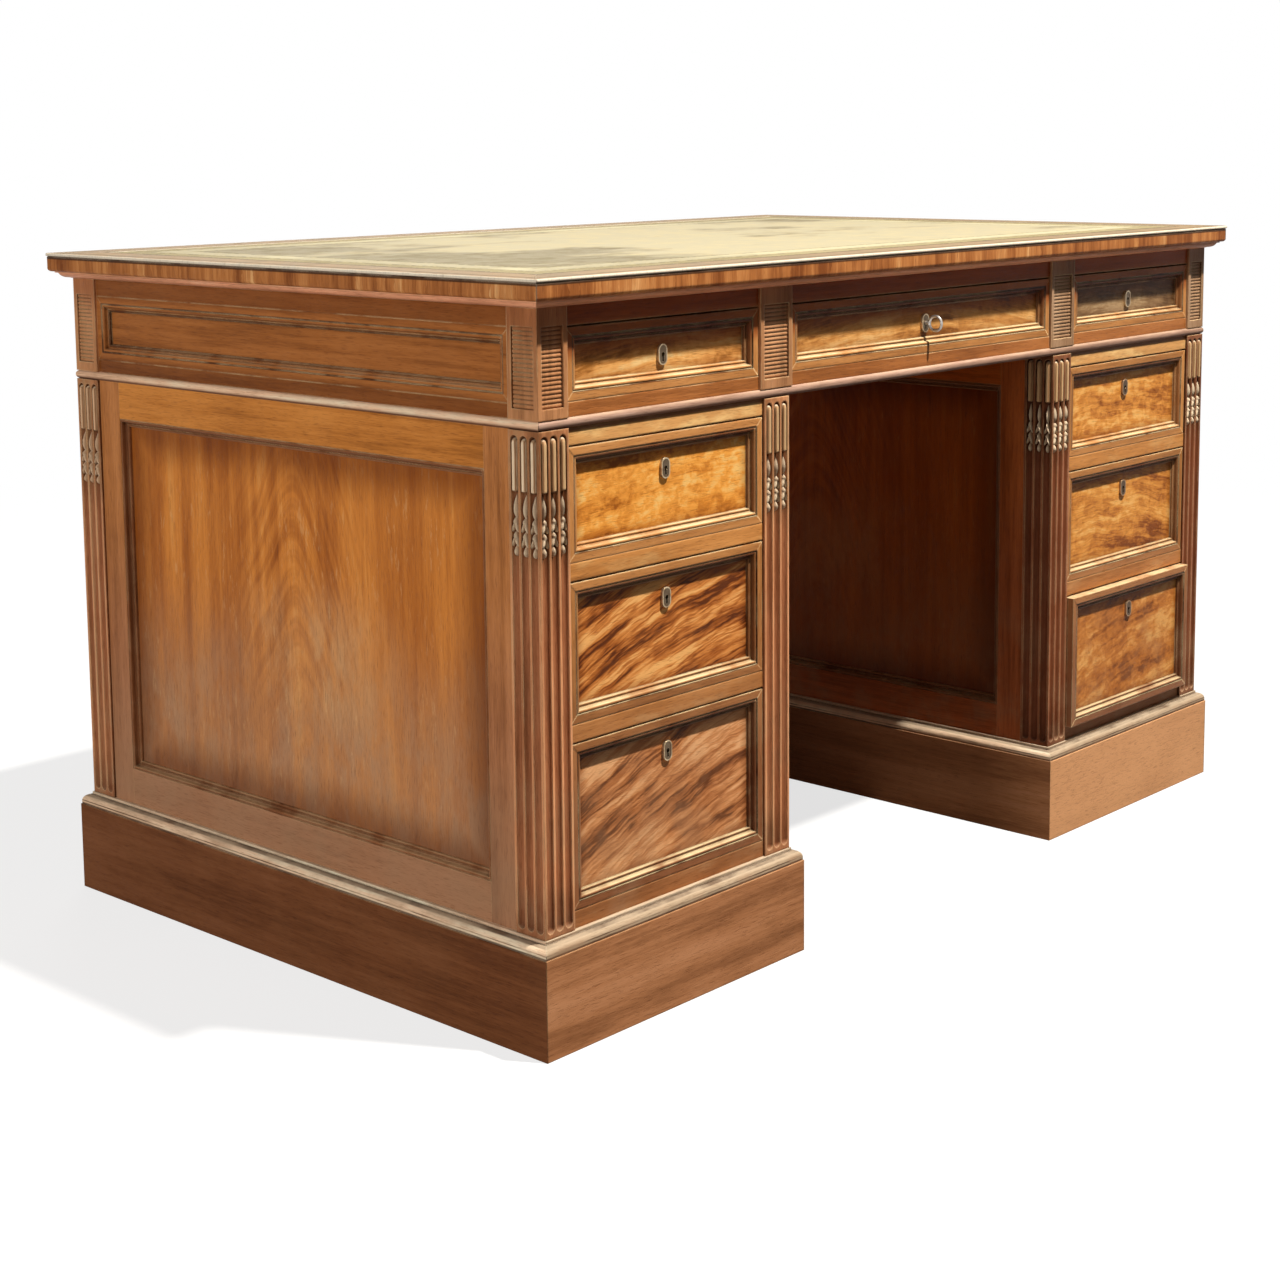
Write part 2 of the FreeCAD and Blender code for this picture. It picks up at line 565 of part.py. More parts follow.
# Drawers. Each has a fielded front, a box of two sides, a back and a bottom, and a lock let into
# the back of its front with a sliding bolt.
inward = FreeCAD.Rotation(FreeCAD.Vector(1, 0, 0), -90)
back_wall = f"({half_depth} - frame_setback - frame_thickness)"
box_length = f"({front_n} - planted_depth - front_thickness + {back_wall} - drawer_back_gap)"


def keyhole(name, x, n, z, length):
    """The cutter for a keyhole that starts at n and runs inwards."""
    shank = rod(name + "_round", "keyhole_radius", length, (x, f"-({n})", z), inward)
    half = "keyhole_slot_width / 2"
    slot = slab(name + "_slot", "front", (f"{x} - {half}", f"{x} + {half}"),
                (f"{z} - keyhole_slot_length", z), (f"{n} - ({length})", n))
    return joined(name, [shank, slot])


for title, (u, v, n) in drawer_openings.items():
    name = f"{title}_drawer"
    middle = f"(({u[0]}) + ({u[1]})) / 2"
    front_u = (f"{u[0]} + drawer_side_gap", f"{u[1]} - drawer_side_gap")
    front_v = (f"{v[0]} + front_foot_gap", f"{v[1]} - front_top_gap")
    field = f"({n} - planted_depth)"
    back_n = f"({field} - front_thickness)"
    lock_n = f"({back_n} + lock_depth)"
    key_z = f"({front_v[1]} - keyhole_drop)"

    lock_u = (f"{middle} - lock_width / 2", f"{middle} + lock_width / 2")
    lock_v = (f"{front_v[1]} - lock_height", front_v[1])
    recess = slab(name + "_lock_recess", "front", lock_u, (lock_v[0], f"{lock_v[1]} + cut_overrun"),
                  (f"{back_n} - cut_overrun", lock_n))
    hole = keyhole(name + "_front_keyhole", middle, f"{field} + cut_overrun", key_z,
                   "front_thickness + cut_overrun + cut_overrun")
    node(f"{name}_front", fielded(name, "front", front_u, front_v, n, "front_thickness", [recess, hole]))

    side_v = (f"{v[0]} + runner_gap", f"{v[1]} - drawer_side_drop")
    box_n = (f"{back_n} - {box_length}", back_n)
    inner_u = (f"{front_u[0]} + drawer_wall", f"{front_u[1]} - drawer_wall")
    bottom_low = f"{side_v[0]} + drawer_bottom_rise"
    bottom_v = (bottom_low, f"{bottom_low} + drawer_bottom_thickness")
    inner_n = (f"{box_n[0]} + drawer_wall", back_n)
    node(f"{name}_box", [
        slab(name + "_side", "front", (front_u[0], inner_u[0]), side_v, box_n),
        slab(name + "_side", "front", (inner_u[1], front_u[1]), side_v, box_n),
        slab(name + "_back", "front", inner_u, (bottom_low, side_v[1]), (box_n[0], inner_n[0])),
        slab(name + "_bottom", "front", inner_u, bottom_v, inner_n),
    ])

    # Lock: a case with a channel for the bolt and a round chamber for the bit, and the keyhole ring.
    case = slab(name + "_lock_case", "front", lock_u, lock_v, (back_n, lock_n))
    bolt_n = (f"{back_n} + lock_wall", f"{back_n} + lock_wall + bolt_thickness")
    bolt_u = (f"{middle} - bolt_width / 2", f"{middle} + bolt_width / 2")
    bolt_v = (f"{front_v[1]} - bolt_length", front_v[1])
    channel = slab(name + "_bolt_channel", "front",
                   (f"{bolt_u[0]} - bolt_clearance", f"{bolt_u[1]} + bolt_clearance"),
                   (bolt_v[0], f"{bolt_v[1]} + cut_overrun"),
                   (f"{bolt_n[0]} - bolt_clearance", f"{bolt_n[1]} + bolt_clearance"))
    chamber = rod(name + "_key_chamber", "key_chamber_radius", "lock_depth - lock_wall - lock_wall",
                  (middle, f"-({lock_n} - lock_wall)", key_z), inward)
    case_hole = keyhole(name + "_case_keyhole", middle, f"{lock_n} + cut_overrun", key_z, "lock_depth")
    lock = cut(name + "_hollow_case", case, [channel, chamber, case_hole])

    end_radius = "escutcheon_width / 2"
    end_rise = "(escutcheon_length - escutcheon_width) / 2"
    ring = [slab(name + "_ring_middle", "front", (f"{middle} - {end_radius}", f"{middle} + {end_radius}"),
                 (f"{key_z} - {end_rise}", f"{key_z} + {end_rise}"), (field, f"{field} + escutcheon_depth"))]
    for end in ("-", "+"):
        ring.append(rod(name + "_ring_end", end_radius, "escutcheon_depth",
                        (middle, f"-({field} + escutcheon_depth)", f"{key_z} {end} {end_rise}"), inward))
    ring_hole = keyhole(name + "_ring_keyhole", middle, f"{field} + escutcheon_depth + cut_overrun", key_z,
                        "escutcheon_depth + cut_overrun + cut_overrun")
    escutcheon = cut(name + "_escutcheon", joined(name + "_ring_plate", ring), [ring_hole])
    node(f"{name}_lock", [lock, escutcheon])
    node(f"{name}_bolt", [slab(name + "_bolt_bar", "front", bolt_u, bolt_v, bolt_n)])

    # One key stands in the middle lock, its ring upright and its bit down in the chamber.
    if title == "frieze_centre":
        bit_back = f"({lock_n} - lock_wall - bolt_clearance - key_bit_width)"
        key_out = f"({field} + escutcheon_depth + key_shank_length)"
        shank = rod("key_shank", "key_shank_radius", f"{key_out} - {bit_back}",
                    (middle, f"-({key_out})", key_z), inward)
        bow = bind(doc.addObject("Part::Torus", "key_bow"), Radius1="key_bow_radius", Radius2="key_bow_wire")
        put(bow, (middle, f"-({key_out} + key_bow_radius)", key_z),
            FreeCAD.Rotation(FreeCAD.Vector(0, 1, 0), 90))
        bit = slab("key_bit", "front",
                   (f"{middle} - key_bit_thickness / 2", f"{middle} + key_bit_thickness / 2"),
                   (f"{key_z} - key_bit_length", key_z), (bit_back, f"{bit_back} + key_bit_width"))
        node("desk_key", [joined("key_blank", [shank, bow, bit])])

doc.recompute()

# Every piece has to be sound before anything is written.
faults = [item.Name for item in doc.Objects if {"Invalid", "Error"} & set(item.State)]
for group in nodes:
    if group.Shape.isNull() or not group.Shape.isValid() or not group.Shape.Solids:
        faults.append(group.Label)
if faults:
    raise RuntimeError("unsound pieces: " + ", ".join(faults))

os.makedirs("parts", exist_ok=True)
for group in nodes:
    group.Shape.exportStep(os.path.join("parts", group.Label + ".step"))
    print(group.Label, len(group.Shape.Solids), "solids", round(group.Shape.Volume))
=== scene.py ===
import math

import bmesh
import bpy
from mathutils import Matrix, Vector


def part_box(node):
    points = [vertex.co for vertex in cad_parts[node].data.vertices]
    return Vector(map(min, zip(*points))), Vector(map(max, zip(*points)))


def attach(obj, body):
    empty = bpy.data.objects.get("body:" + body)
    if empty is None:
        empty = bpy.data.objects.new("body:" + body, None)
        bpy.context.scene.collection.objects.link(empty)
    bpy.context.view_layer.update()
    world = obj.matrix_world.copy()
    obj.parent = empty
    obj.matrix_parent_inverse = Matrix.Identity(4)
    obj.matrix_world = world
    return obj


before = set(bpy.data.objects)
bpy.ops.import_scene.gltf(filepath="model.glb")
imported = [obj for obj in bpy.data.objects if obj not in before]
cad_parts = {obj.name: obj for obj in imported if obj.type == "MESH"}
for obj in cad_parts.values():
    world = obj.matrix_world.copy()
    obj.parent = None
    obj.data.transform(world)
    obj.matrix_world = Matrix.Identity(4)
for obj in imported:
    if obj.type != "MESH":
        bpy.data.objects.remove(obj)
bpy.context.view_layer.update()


# Plinths. Each pedestal stands on four plain mahogany boards, mitred at the corners and glued.
# They are the most knocked part of the desk: dull brown, dusty, and scuffed along the floor.
SIDES = {"left": -1, "right": 1}
PEDESTAL_MIDDLE = 0.462
PLINTH_HALF_WIDTH, PLINTH_HALF_DEPTH = 0.2055, 0.4015
PLINTH_END, PLINTH_FRONT, PLINTH_DUST = (0.168, 0.057, 0.02), (0.45, 0.19, 0.08), (0.85, 0.435, 0.205)
PLINTH_DUST_ALONG = (-0.2, 0.3)   # the front grows dustier to the right
KNEEHOLE_PAINTED_SHADE, KNEEHOLE_PAINTED_SHADE_ALONG = (0.22, 0.14, 0.11), (-0.3, 0.24)   # and the kneehole darker inward
GRAIN_DRAW = 0.05   # a fibre is twenty times as long as it is wide
PORE_SHADE, RUBBED_BROWN, CREASE_DIRT_AND_CORNER_SHADE = (0.42, 0.34, 0.28), (0.36, 0.2, 0.11), (0.09, 0.045, 0.028)
EDGE_RADIUS, CREASE_REACH, CORNER_REACH, GRAIN_RELIEF = 0.0022, 0.004, 0.018, 0.0006
LOW_WEAR = (0.02, 0.42)   # heights between which knocks and rubbing fade


class Tone:
    """A number, colour or direction that changes over a surface: one socket of a finish."""

    def __init__(self, tree, socket=None):
        self.tree, self.socket = tree, socket

    def add(self, kind, settings=None, sockets=None, out=0):
        """Adds any shader node. Its settings come first, then the values or links of its sockets."""
        node = self.tree.nodes.new("ShaderNode" + kind)
        for setting, value in (settings or {}).items():
            setattr(node, setting, value)
        for name, value in (sockets or {}).items():
            socket = node.inputs[name]
            if isinstance(value, Tone):
                self.tree.links.new(value.socket, socket)
            elif socket.type == "RGBA":
                socket.default_value = (*value, 1.0)
            else:
                socket.default_value = value
        return Tone(self.tree, node.outputs[out] if node.outputs else None)

    def math(self, operation, other=0.0, turned=False):
        """A sum of this number and another one, which comes first if the two are turned."""
        first, second = (other, self) if turned else (self, other)
        return self.add("Math", {"operation": operation}, {0: first, 1: second})

    def __add__(self, other):
        return self.math("ADD", other)

    def __sub__(self, other):
        return self.math("SUBTRACT", other)

    def __rsub__(self, other):
        return self.math("SUBTRACT", other, turned=True)

    def __mul__(self, other):
        return self.math("MULTIPLY", other)

    def __truediv__(self, other):
        return self.math("DIVIDE", other)

    def __rtruediv__(self, other):
        return self.math("DIVIDE", other, turned=True)

    def __abs__(self):
        return self.math("ABSOLUTE")

    def __lt__(self, other):
        return self.math("LESS_THAN", other)

    def __gt__(self, other):
        return self.math("GREATER_THAN", other)

    __radd__, __rmul__ = __add__, __mul__

    def least(self, other):
        return self.math("MINIMUM", other)

    def most(self, other):
        return self.math("MAXIMUM", other)

    def smooth(self, low, high):
        """0 below low, 1 above high, and an even change between them."""
        return self.add("MapRange", {"interpolation_type": "SMOOTHSTEP"},
                        {"Value": self, "From Min": low, "From Max": high})

    def line(self, start, full, fade, end):
        """A soft line or band: 1 from full to fade, and 0 before its start and after its end."""
        return self.smooth(start, full) * (1.0 - self.smooth(fade, end))

    def vector(self, operation, *others, out=0):
        return self.add("VectorMath", {"operation": operation}, dict(enumerate((self, *others))), out)

    def drawn(self, *factors):
        """Draws a pattern out along the axes whose factors are under 1."""
        return self.vector("MULTIPLY", factors)

    def parts(self):
        split = self.add("SeparateXYZ", sockets={0: self}).socket.node
        return [Tone(self.tree, socket) for socket in split.outputs]

    def noise(self, scale, detail=2.0, rough=0.5, out=0):
        return self.add("TexNoise", sockets={"Vector": self, "Scale": scale, "Detail": detail,
                                             "Roughness": rough}, out=out)

    def ramp(self, stops):
        """Turns a number into a colour. Each stop is a place from 0 to 1 and its colour."""
        made = self.add("ValToRGB", sockets={0: self})
        marks = made.socket.node.color_ramp.elements
        marks.remove(marks[1])
        marks[0].position = stops[0][0]
        for position, colour in stops[1:]:
            marks.new(position)
        for mark, (position, colour) in zip(marks, stops):
            mark.color = (*colour, 1.0)
        return made

    def tint(self, under, over, blend="MIX"):
        """Lays one colour over another, as far as this mask goes."""
        return self.add("Mix", {"data_type": "RGBA", "blend_type": blend}, {0: self, 6: under, 7: over}, 2)

    def shade(self, colour, by):
        """Darkens a colour by another, as far as this mask goes."""
        return self.tint(colour, by, "MULTIPLY")

    def choose(self, no, yes):
        """One of two directions, by this mask of 0 or 1."""
        return self.add("Mix", {"data_type": "VECTOR"}, {0: self, 4: no, 5: yes}, 1)


def begin(name):
    """A new finish, with the place and the facing of each point of the surface."""
    finish = bpy.data.materials.new(name)
    finish.use_nodes = True
    finish.node_tree.nodes.clear()
    bare = Tone(finish.node_tree)
    return finish, bare.add("TexCoord", out="Object"), bare.add("NewGeometry", out="Normal")


def run(axis):
    """Draws the grain out along one axis."""
    return tuple(GRAIN_DRAW if axis == each else 1.0 for each in "xyz")


def boards(place, way, seed=0.0):
    """The figure of a sawn board, from 0 dark to 1 pale, and its open pores."""
    sawn = place.vector("MULTIPLY", way).vector("ADD", (0.31 * seed, 0.17 * seed, 0.23 * seed))
    sway = sawn.noise(5.0, 1.0, out=1).vector("MULTIPLY_ADD", (0.03,) * 3, (-0.015,) * 3)
    sawn = sawn.vector("ADD", sway)
    bands, streaks, threads = sawn.noise(30.0), sawn.noise(170.0, 3.0), sawn.noise(800.0)
    figure = (bands * 0.5 + streaks * 0.32 + threads * 0.18).smooth(0.32, 0.68)
    return figure, sawn.noise(1500.0, 1.0).smooth(0.57, 0.7)


def shades(middle, dark=0.45, pale=1.35):
    """The stops of a ramp round a middle colour. Dark wood is redder, and pale wood is greyer."""
    deep = [channel * dark * fall for channel, fall in zip(middle, (1.0, 0.86, 0.74))]
    light = [min(channel * pale * rise, 0.9) for channel, rise in zip(middle, (1.0, 1.1, 1.25))]
    return ((0.0, deep), (0.5, middle), (1.0, light))


def edges(place, facing, radius, low, high):
    """The facing with its edges rounded off, and a mask of those edges."""
    soft = place.add("Bevel", {"samples": 4}, {"Radius": radius})
    return soft, (1.0 - soft.vector("DOT_PRODUCT", facing, out=1)).smooth(low, high)


def close(finish, place, colour, rough, normal, fixed):
    """Sends the colour, roughness and relief to the surface. The fixed values are the same all over."""
    shader = place.add("BsdfPrincipled", sockets={"Base Color": colour, "Roughness": rough,
                                                  "Normal": normal, **fixed})
    place.add("OutputMaterial", sockets={"Surface": shader})


def old_polish(finish, place, facing, colour, figure, pores, shine=0.4, worn=0.45, grime_and_shade=0.85, dust_and_highlight=0.25,
               low_rub=0.45, edge_wear_and_highlight=(0.7, 0.44, 0.22), dust_and_highlight_tone=(0.44, 0.32, 0.2), among=False,
               dull_top=0.08):
    """Waxed and handled wood: dirt in creases, painted shade in corners, and rubbed edges and dust on what
    faces up, each with a painted highlight.
    """
    soft, edge = edges(place, facing, EDGE_RADIUS, 0.012, 0.2)
    closed_in = [1.0 - place.add("AmbientOcclusion", {"samples": 5, "only_local": not among},
                                 {"Distance": reach}, 1) for reach in (CREASE_REACH, CORNER_REACH)]
    crease, corner = closed_in[0].smooth(0.14, 0.46), closed_in[1].smooth(0.12, 0.6)
    patches = place.noise(17.0, 4.0, 0.6)
    upward = facing.parts()[2].smooth(0.3, 0.9)
    low = 1.0 - place.parts()[2].smooth(*LOW_WEAR)
    colour = (pores * 0.45).shade(colour, PORE_SHADE)
    colour = (patches.smooth(0.42, 0.68) * (low * low_rub + 0.04)).tint(colour, RUBBED_BROWN)
    # Dust on what faces up, with a painted highlight laid in with it.
    colour = (upward * patches.smooth(0.25, 0.6) * dust_and_highlight).tint(colour, dust_and_highlight_tone)
    # Rubbed pale edges, with a painted highlight along them.
    colour = (edge * patches.smooth(0.34, 0.56) * worn).tint(colour, edge_wear_and_highlight)
    # Dirt in the fine creases, and painted shade in the wider corners and recesses.
    dirt_and_shade = crease.most(corner * 0.55) * (1.0 - edge * 0.5)
    colour = (dirt_and_shade * grime_and_shade).shade(colour, CREASE_DIRT_AND_CORNER_SHADE)
    rough = (patches - 0.5) * 0.35 + low * 0.1 + corner * 0.2 + figure * -0.05 + upward * dull_top + shine
    normal = place.add("Bump", sockets={"Strength": 0.35, "Distance": GRAIN_RELIEF,
                                        "Height": figure * 0.25 - pores * 0.75, "Normal": soft})
    close(finish, place, colour, rough, normal, {"Specular IOR Level": 0.05})


def dress(finish, *names):
    """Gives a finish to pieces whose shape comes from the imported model."""
    for name in names:
        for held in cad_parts[name].material_slots:
            held.material = finish


def both(name):
    return [f"{side}_{name}" for side in SIDES]


def round_a_frame(place, half_width, half_depth, middle=0.0):
    """Where the ends of a flat mitred frame are, and the grain along each of its lengths."""
    x, y, z = place.parts()
    at_end = (half_width - abs(abs(x) - middle)) < (half_depth - abs(y))
    return at_end, at_end.choose(run("x"), run("y"))


finish, place, facing = begin("plinth_mahogany")
x, y, z = place.parts()
at_end, way = round_a_frame(place, PLINTH_HALF_WIDTH, PLINTH_HALF_DEPTH, PEDESTAL_MIDDLE)
figure, pores = boards(place, way)
tone = figure * 0.7 + place.noise(6.0, 4.0, 0.6) * 0.7 - 0.2
outer_end, in_kneehole = at_end * (abs(x) > PEDESTAL_MIDDLE), at_end * (abs(x) < PEDESTAL_MIDDLE)
colour = outer_end.tint(tone.ramp(shades(PLINTH_FRONT)), tone.ramp(shades(PLINTH_END)))
dust_and_highlight_tone = x.smooth(*PLINTH_DUST_ALONG) * (1 - at_end) * (place.noise(9.0, 4.0) * 0.5 + 0.45)
colour = dust_and_highlight_tone.tint(colour, PLINTH_DUST)
# Painted shade in the kneehole, deepening towards the back.
colour = (in_kneehole * y.smooth(*KNEEHOLE_PAINTED_SHADE_ALONG) * 0.9).shade(colour, KNEEHOLE_PAINTED_SHADE)
old_polish(finish, place, facing, colour, figure, pores, shine=0.52, worn=0.4, dust_and_highlight=0.3, low_rub=0.0)
dress(finish, *both("plinth"))


# Plinth mouldings. A stepped moulding, mitred round the top of each plinth, where dust lies and
# the broom and the feet have rubbed the polish off, so that its edges are nearly bare. A painted
# highlight lies with the dust and on the bare edges.
MOULDING_FRONT, MOULDING_END = (0.5, 0.365, 0.24), (0.86, 0.6, 0.4)
MOULDING_EDGE, MOULDING_DUST_AND_HIGHLIGHT = (0.72, 0.58, 0.41), (0.54, 0.43, 0.3)
QUIRK_DARK = (0.075, 0.034, 0.018)   # dirt in the grooves, whose heights follow
UPPER_QUIRK, LOWER_QUIRK = (0.1146, 0.1156, 0.1166, 0.1176), (0.1088, 0.1094, 0.11, 0.1106)
FOOT_QUIRK_TO = (0.1066, 0.1078)

finish, place, facing = begin("plinth_moulding_mahogany")
x, y, z = place.parts()
at_end, way = round_a_frame(place, PLINTH_HALF_WIDTH, PLINTH_HALF_DEPTH, PEDESTAL_MIDDLE)
figure, pores = boards(place, way, 1.0)
tone = figure * 0.7 + place.noise(22.0, 3.0) * 0.4 - 0.05
colour = at_end.tint(tone.ramp(shades(MOULDING_FRONT)), tone.ramp(shades(MOULDING_END)))
quirk = z.line(*UPPER_QUIRK) + 1.0 - z.smooth(*FOOT_QUIRK_TO)
quirk = quirk + z.line(*LOWER_QUIRK) * place.noise(12.0, 3.0).smooth(0.3, 0.6)
colour = (quirk * 0.88).tint(colour, QUIRK_DARK)
old_polish(finish, place, facing, colour, figure, pores, shine=0.42, worn=0.75, dust_and_highlight=0.6,
           edge_wear_and_highlight=MOULDING_EDGE, dust_and_highlight_tone=MOULDING_DUST_AND_HIGHLIGHT)
dress(finish, *both("plinth_moulding"))


# Pilasters. Square mahogany posts at the corners of the pedestals, with three flutes cut in each
# outward face. Their edges are rubbed pale under a painted highlight. Dirt and painted shade lie in
# the flutes, dirt at the foot and at the head, and the posts on the right are painted in shade.
PILASTER_BROWN, PILASTER_PAINTED_SHADE_BROWN = (0.84, 0.36, 0.165), (0.36, 0.122, 0.052)
PILASTER_EDGE, PILASTER_PAINTED_SHADE_ALONG = (0.8, 0.52, 0.28), (-0.1, 0.25)
FACE_X, FACE_Y, KNEEHOLE_X, PILASTER_OUTER = 0.6555, 0.3895, 0.2685, 0.651
FLUTE_DIRT_AND_SHADE, FLUTE_DIRT_AND_SHADE_DEPTHS = (0.36, 0.24, 0.19), (0.0004, 0.003)
OUTER_SHADE = (0.2, 0.14, 0.1)
CARVING_DIRT, CARVING_DIRT_FROM = (0.42, 0.42, 0.36), (0.47, 0.525)
FOOT_DIRT, FOOT_DIRT_TO = (0.34, 0.29, 0.27), (0.135, 0.215)

finish, place, facing = begin("pilaster_mahogany")
x, y, z = place.parts()
figure, pores = boards(place, run("z"), 2.0)
tone = figure * 0.7 + place.noise(9.0, 3.0) * 0.4 - 0.05
# The posts on the right are painted in shade, a darker brown.
in_painted_shade = x.smooth(*PILASTER_PAINTED_SHADE_ALONG)
colour = in_painted_shade.tint(tone.ramp(shades(PILASTER_BROWN)), tone.ramp(shades(PILASTER_PAINTED_SHADE_BROWN)))
depth = (FACE_X - abs(x)).least(abs(x) - KNEEHOLE_X).least(FACE_Y - abs(y))
# Dirt and painted shade, deeper towards the bottom of the flutes.
colour = (depth.smooth(*FLUTE_DIRT_AND_SHADE_DEPTHS) * 0.62).shade(colour, FLUTE_DIRT_AND_SHADE)
colour = ((abs(x) > PILASTER_OUTER) * 0.25).shade(colour, OUTER_SHADE)
near_carving = z.smooth(*CARVING_DIRT_FROM) * (place.noise(60.0, 3.0).smooth(0.2, 0.6) * 0.5 + 0.5)
colour = (near_carving * 0.7).shade(colour, CARVING_DIRT)
at_foot = 1.0 - (z + place.noise(30.0, 3.0) * 0.05).smooth(*FOOT_DIRT_TO)
colour = (at_foot * 0.75).shade(colour, FOOT_DIRT)
old_polish(finish, place, facing, colour, figure, pores, shine=0.4, worn=0.75, grime_and_shade=0.9, dust_and_highlight=0.3,
           edge_wear_and_highlight=PILASTER_EDGE, among=True)
dress(finish, *both("pilasters"))


# Carving. Cables fill the flutes at the heads of the posts, and under each hang a bud, two pairs of
# spread leaves and a drop. They are cut from the mahogany of the post. Their crests are dusty and
# carry a painted highlight, and the flanks of the cables are painted in shade.
CARVED_BROWN, CABLE_OLIVE, CARVED_DUST_AND_HIGHLIGHT = (0.62, 0.33, 0.165), (0.6, 0.4, 0.2), (0.9, 0.72, 0.5)
CABLE_FLANK_PAINTED_SHADE, CABLE_FROM = (0.5, 0.46, 0.4), (0.566, 0.57)
PILASTER_HALF, PILASTER_AWAY, PILASTER_DEEP = 0.021, 0.1725, 0.3685
FLUTE_RADIUS, FLUTE_LIFT, FLUTE_SPACING, FLUTE_ROOM = 0.0052, 0.0012, 0.013, 0.005
CABLE_FOOT, CABLE_HEAD, CABLE_HALF_WIDTH, CABLE_BULGE = 0.5685, 0.6225, 0.0034, 0.003
CABLE_SHARES = (0, 0.012, 0.035, 0.08, 0.3, 0.55, 0.8, 0.9, 0.945, 0.972, 0.99, 1)
CABLE_FOOT_SHARE, CABLE_HEAD_SHARE, CABLE_STEPS = 0.035, 0.09, 8   # its ends are rounded off
CABLE_SINK, LET_IN = 0.001, 0.0003   # under the face of the post, and into the hollow of the flute
BUD, DROP = (0.5672, 0.025), (0.517, 0.0125)   # head and length
HUSKS = ((0.544, 0.0155), (0.53, 0.016))
HUSK_SPREAD, MIDDLE_LIFT, MIDDLE_SHARE = 0.0042, 0.001, 0.6
ROUND_LEAF, SPREAD_LEAF = (0.0026, 0.0058), (0.0017, 0.0056)   # half width and bulge
MIDDLE_LEAF = (0.002, 0.0066)
LEAF_SHARES, LEAF_STEPS = (0, 0.06, 0.16, 0.3, 0.45, 0.6, 0.75, 0.88, 0.96, 1), (-1, -0.6, 0, 0.6, 1)

finish, place, facing = begin("carved_mahogany")
x, y, z = place.parts()
figure, pores = boards(place, run("z"), 3.0)
colour = (figure * 0.6 + place.noise(40.0, 3.0) * 0.5 - 0.05).ramp(shades(CARVED_BROWN))
crest = place.add("AmbientOcclusion", {"samples": 6}, {"Distance": 0.005}, 1).smooth(0.22, 0.55)
on_cable = z.smooth(*CABLE_FROM)
# Painted highlight, laid with the dust on the crests: olive on the front cables, pale elsewhere.
pale = (on_cable * (abs(x) < PILASTER_OUTER)).tint(CARVED_DUST_AND_HIGHLIGHT, CABLE_OLIVE)
out_x, out_y = facing.parts()[:2]
on_flank = on_cable * (1.0 - (out_x * out_x).most(out_y * out_y).smooth(0.62, 0.97))
# Painted shade on the flanks of the cables.
colour = on_flank.shade(colour, CABLE_FLANK_PAINTED_SHADE)
# The crests of the back posts get less of the painted highlight.
crest = crest * (1.0 - on_flank) * (1.0 - (y > 0.0) * 0.65)
colour = (crest * (place.noise(70.0, 2.0) * 0.5 + 0.6)).tint(colour, pale)
old_polish(finish, place, facing, colour, figure, pores, shine=0.34, worn=0.7, grime_and_shade=0.1, dust_and_highlight=0.7,
           edge_wear_and_highlight=CARVED_DUST_AND_HIGHLIGHT, dust_and_highlight_tone=CARVED_DUST_AND_HIGHLIGHT, among=True)


def sheet_of(shape, rows):
    """Joins rows of points into a surface and closes it behind, where it is let into the wood."""
    rows = [[shape.verts.new(point) for point in row] for row in rows]
    for upper, lower in zip(rows, rows[1:]):
        for one, two, three, four in zip(upper, upper[1:], lower[1:], lower):
            shape.faces.new((one, two, three, four))
    rim = rows[0] + [row[-1] for row in rows[1:-1]] + rows[-1][::-1] + [row[0] for row in rows[-2:0:-1]]
    shape.faces.new(rim[::-1])


def flutes(side):
    """The foot of each flute on the face of its post, the way across the face, and the way out of it."""
    for out_x in (-1, 1):
        for out_y in (-1, 1):
            away = SIDES[side] * PEDESTAL_MIDDLE + out_x * PILASTER_AWAY
            middle = Vector((away, out_y * PILASTER_DEEP, 0))
            for out in (Vector((out_x, 0, 0)), Vector((0, out_y, 0))):
                across = Vector((-out.y, out.x, 0))
                for step in (-1, 0, 1):
                    yield middle + out * PILASTER_HALF + across * (step * FLUTE_SPACING), across, out


def hollow(u):
    """How far the hollow of a flute stands out of the face, at a distance from its middle."""
    return FLUTE_LIFT - math.sqrt(max(FLUTE_RADIUS ** 2 - u * u, 0.0))


def cable(shape, foot, across, out):
    """A half-round rod in the flute, rounded off at both ends."""
    rows = []
    for share in CABLE_SHARES:
        ease = min(share / CABLE_FOOT_SHARE, (1 - share) / CABLE_HEAD_SHARE, 1.0)
        ease = math.sqrt(max(1 - (1 - ease) ** 2, 0.0))
        up = Vector((0, 0, CABLE_FOOT + share * (CABLE_HEAD - CABLE_FOOT)))
        row = []
        for step in range(CABLE_STEPS + 1):
            turn = math.pi * step / CABLE_STEPS
            u = -CABLE_HALF_WIDTH * math.cos(turn) * max(ease, 0.04)
            w = hollow(u) - LET_IN
            if 0 < step < CABLE_STEPS:
                w += ease * (CABLE_BULGE * math.sin(turn) - CABLE_SINK - hollow(u))
            row.append(foot + across * u + out * w + up)
        rows.append(row)
    sheet_of(shape, rows)


def leaf(shape, foot, across, out, head, length, spread, half_width, bulge):
    """A leaf that hangs in the flute, narrow at its head, with a ridge down its middle."""
    rows = []
    for share in LEAF_SHARES:
        swell = math.sin(math.pi * share ** 1.35) ** 0.8 if 0 < share < 1 else 0.0
        up = Vector((0, 0, head - share * length))
        row = []
        for step in LEAF_STEPS:
            u = spread * share ** 1.6 + step * half_width * max(swell, 0.05)
            u = max(-FLUTE_ROOM, min(FLUTE_ROOM, u))
            w = hollow(u) - LET_IN + bulge * swell ** 0.7 * (1 - abs(step) ** 1.5)
            row.append(foot + across * u + out * w + up)
        rows.append(row)
    sheet_of(shape, rows)


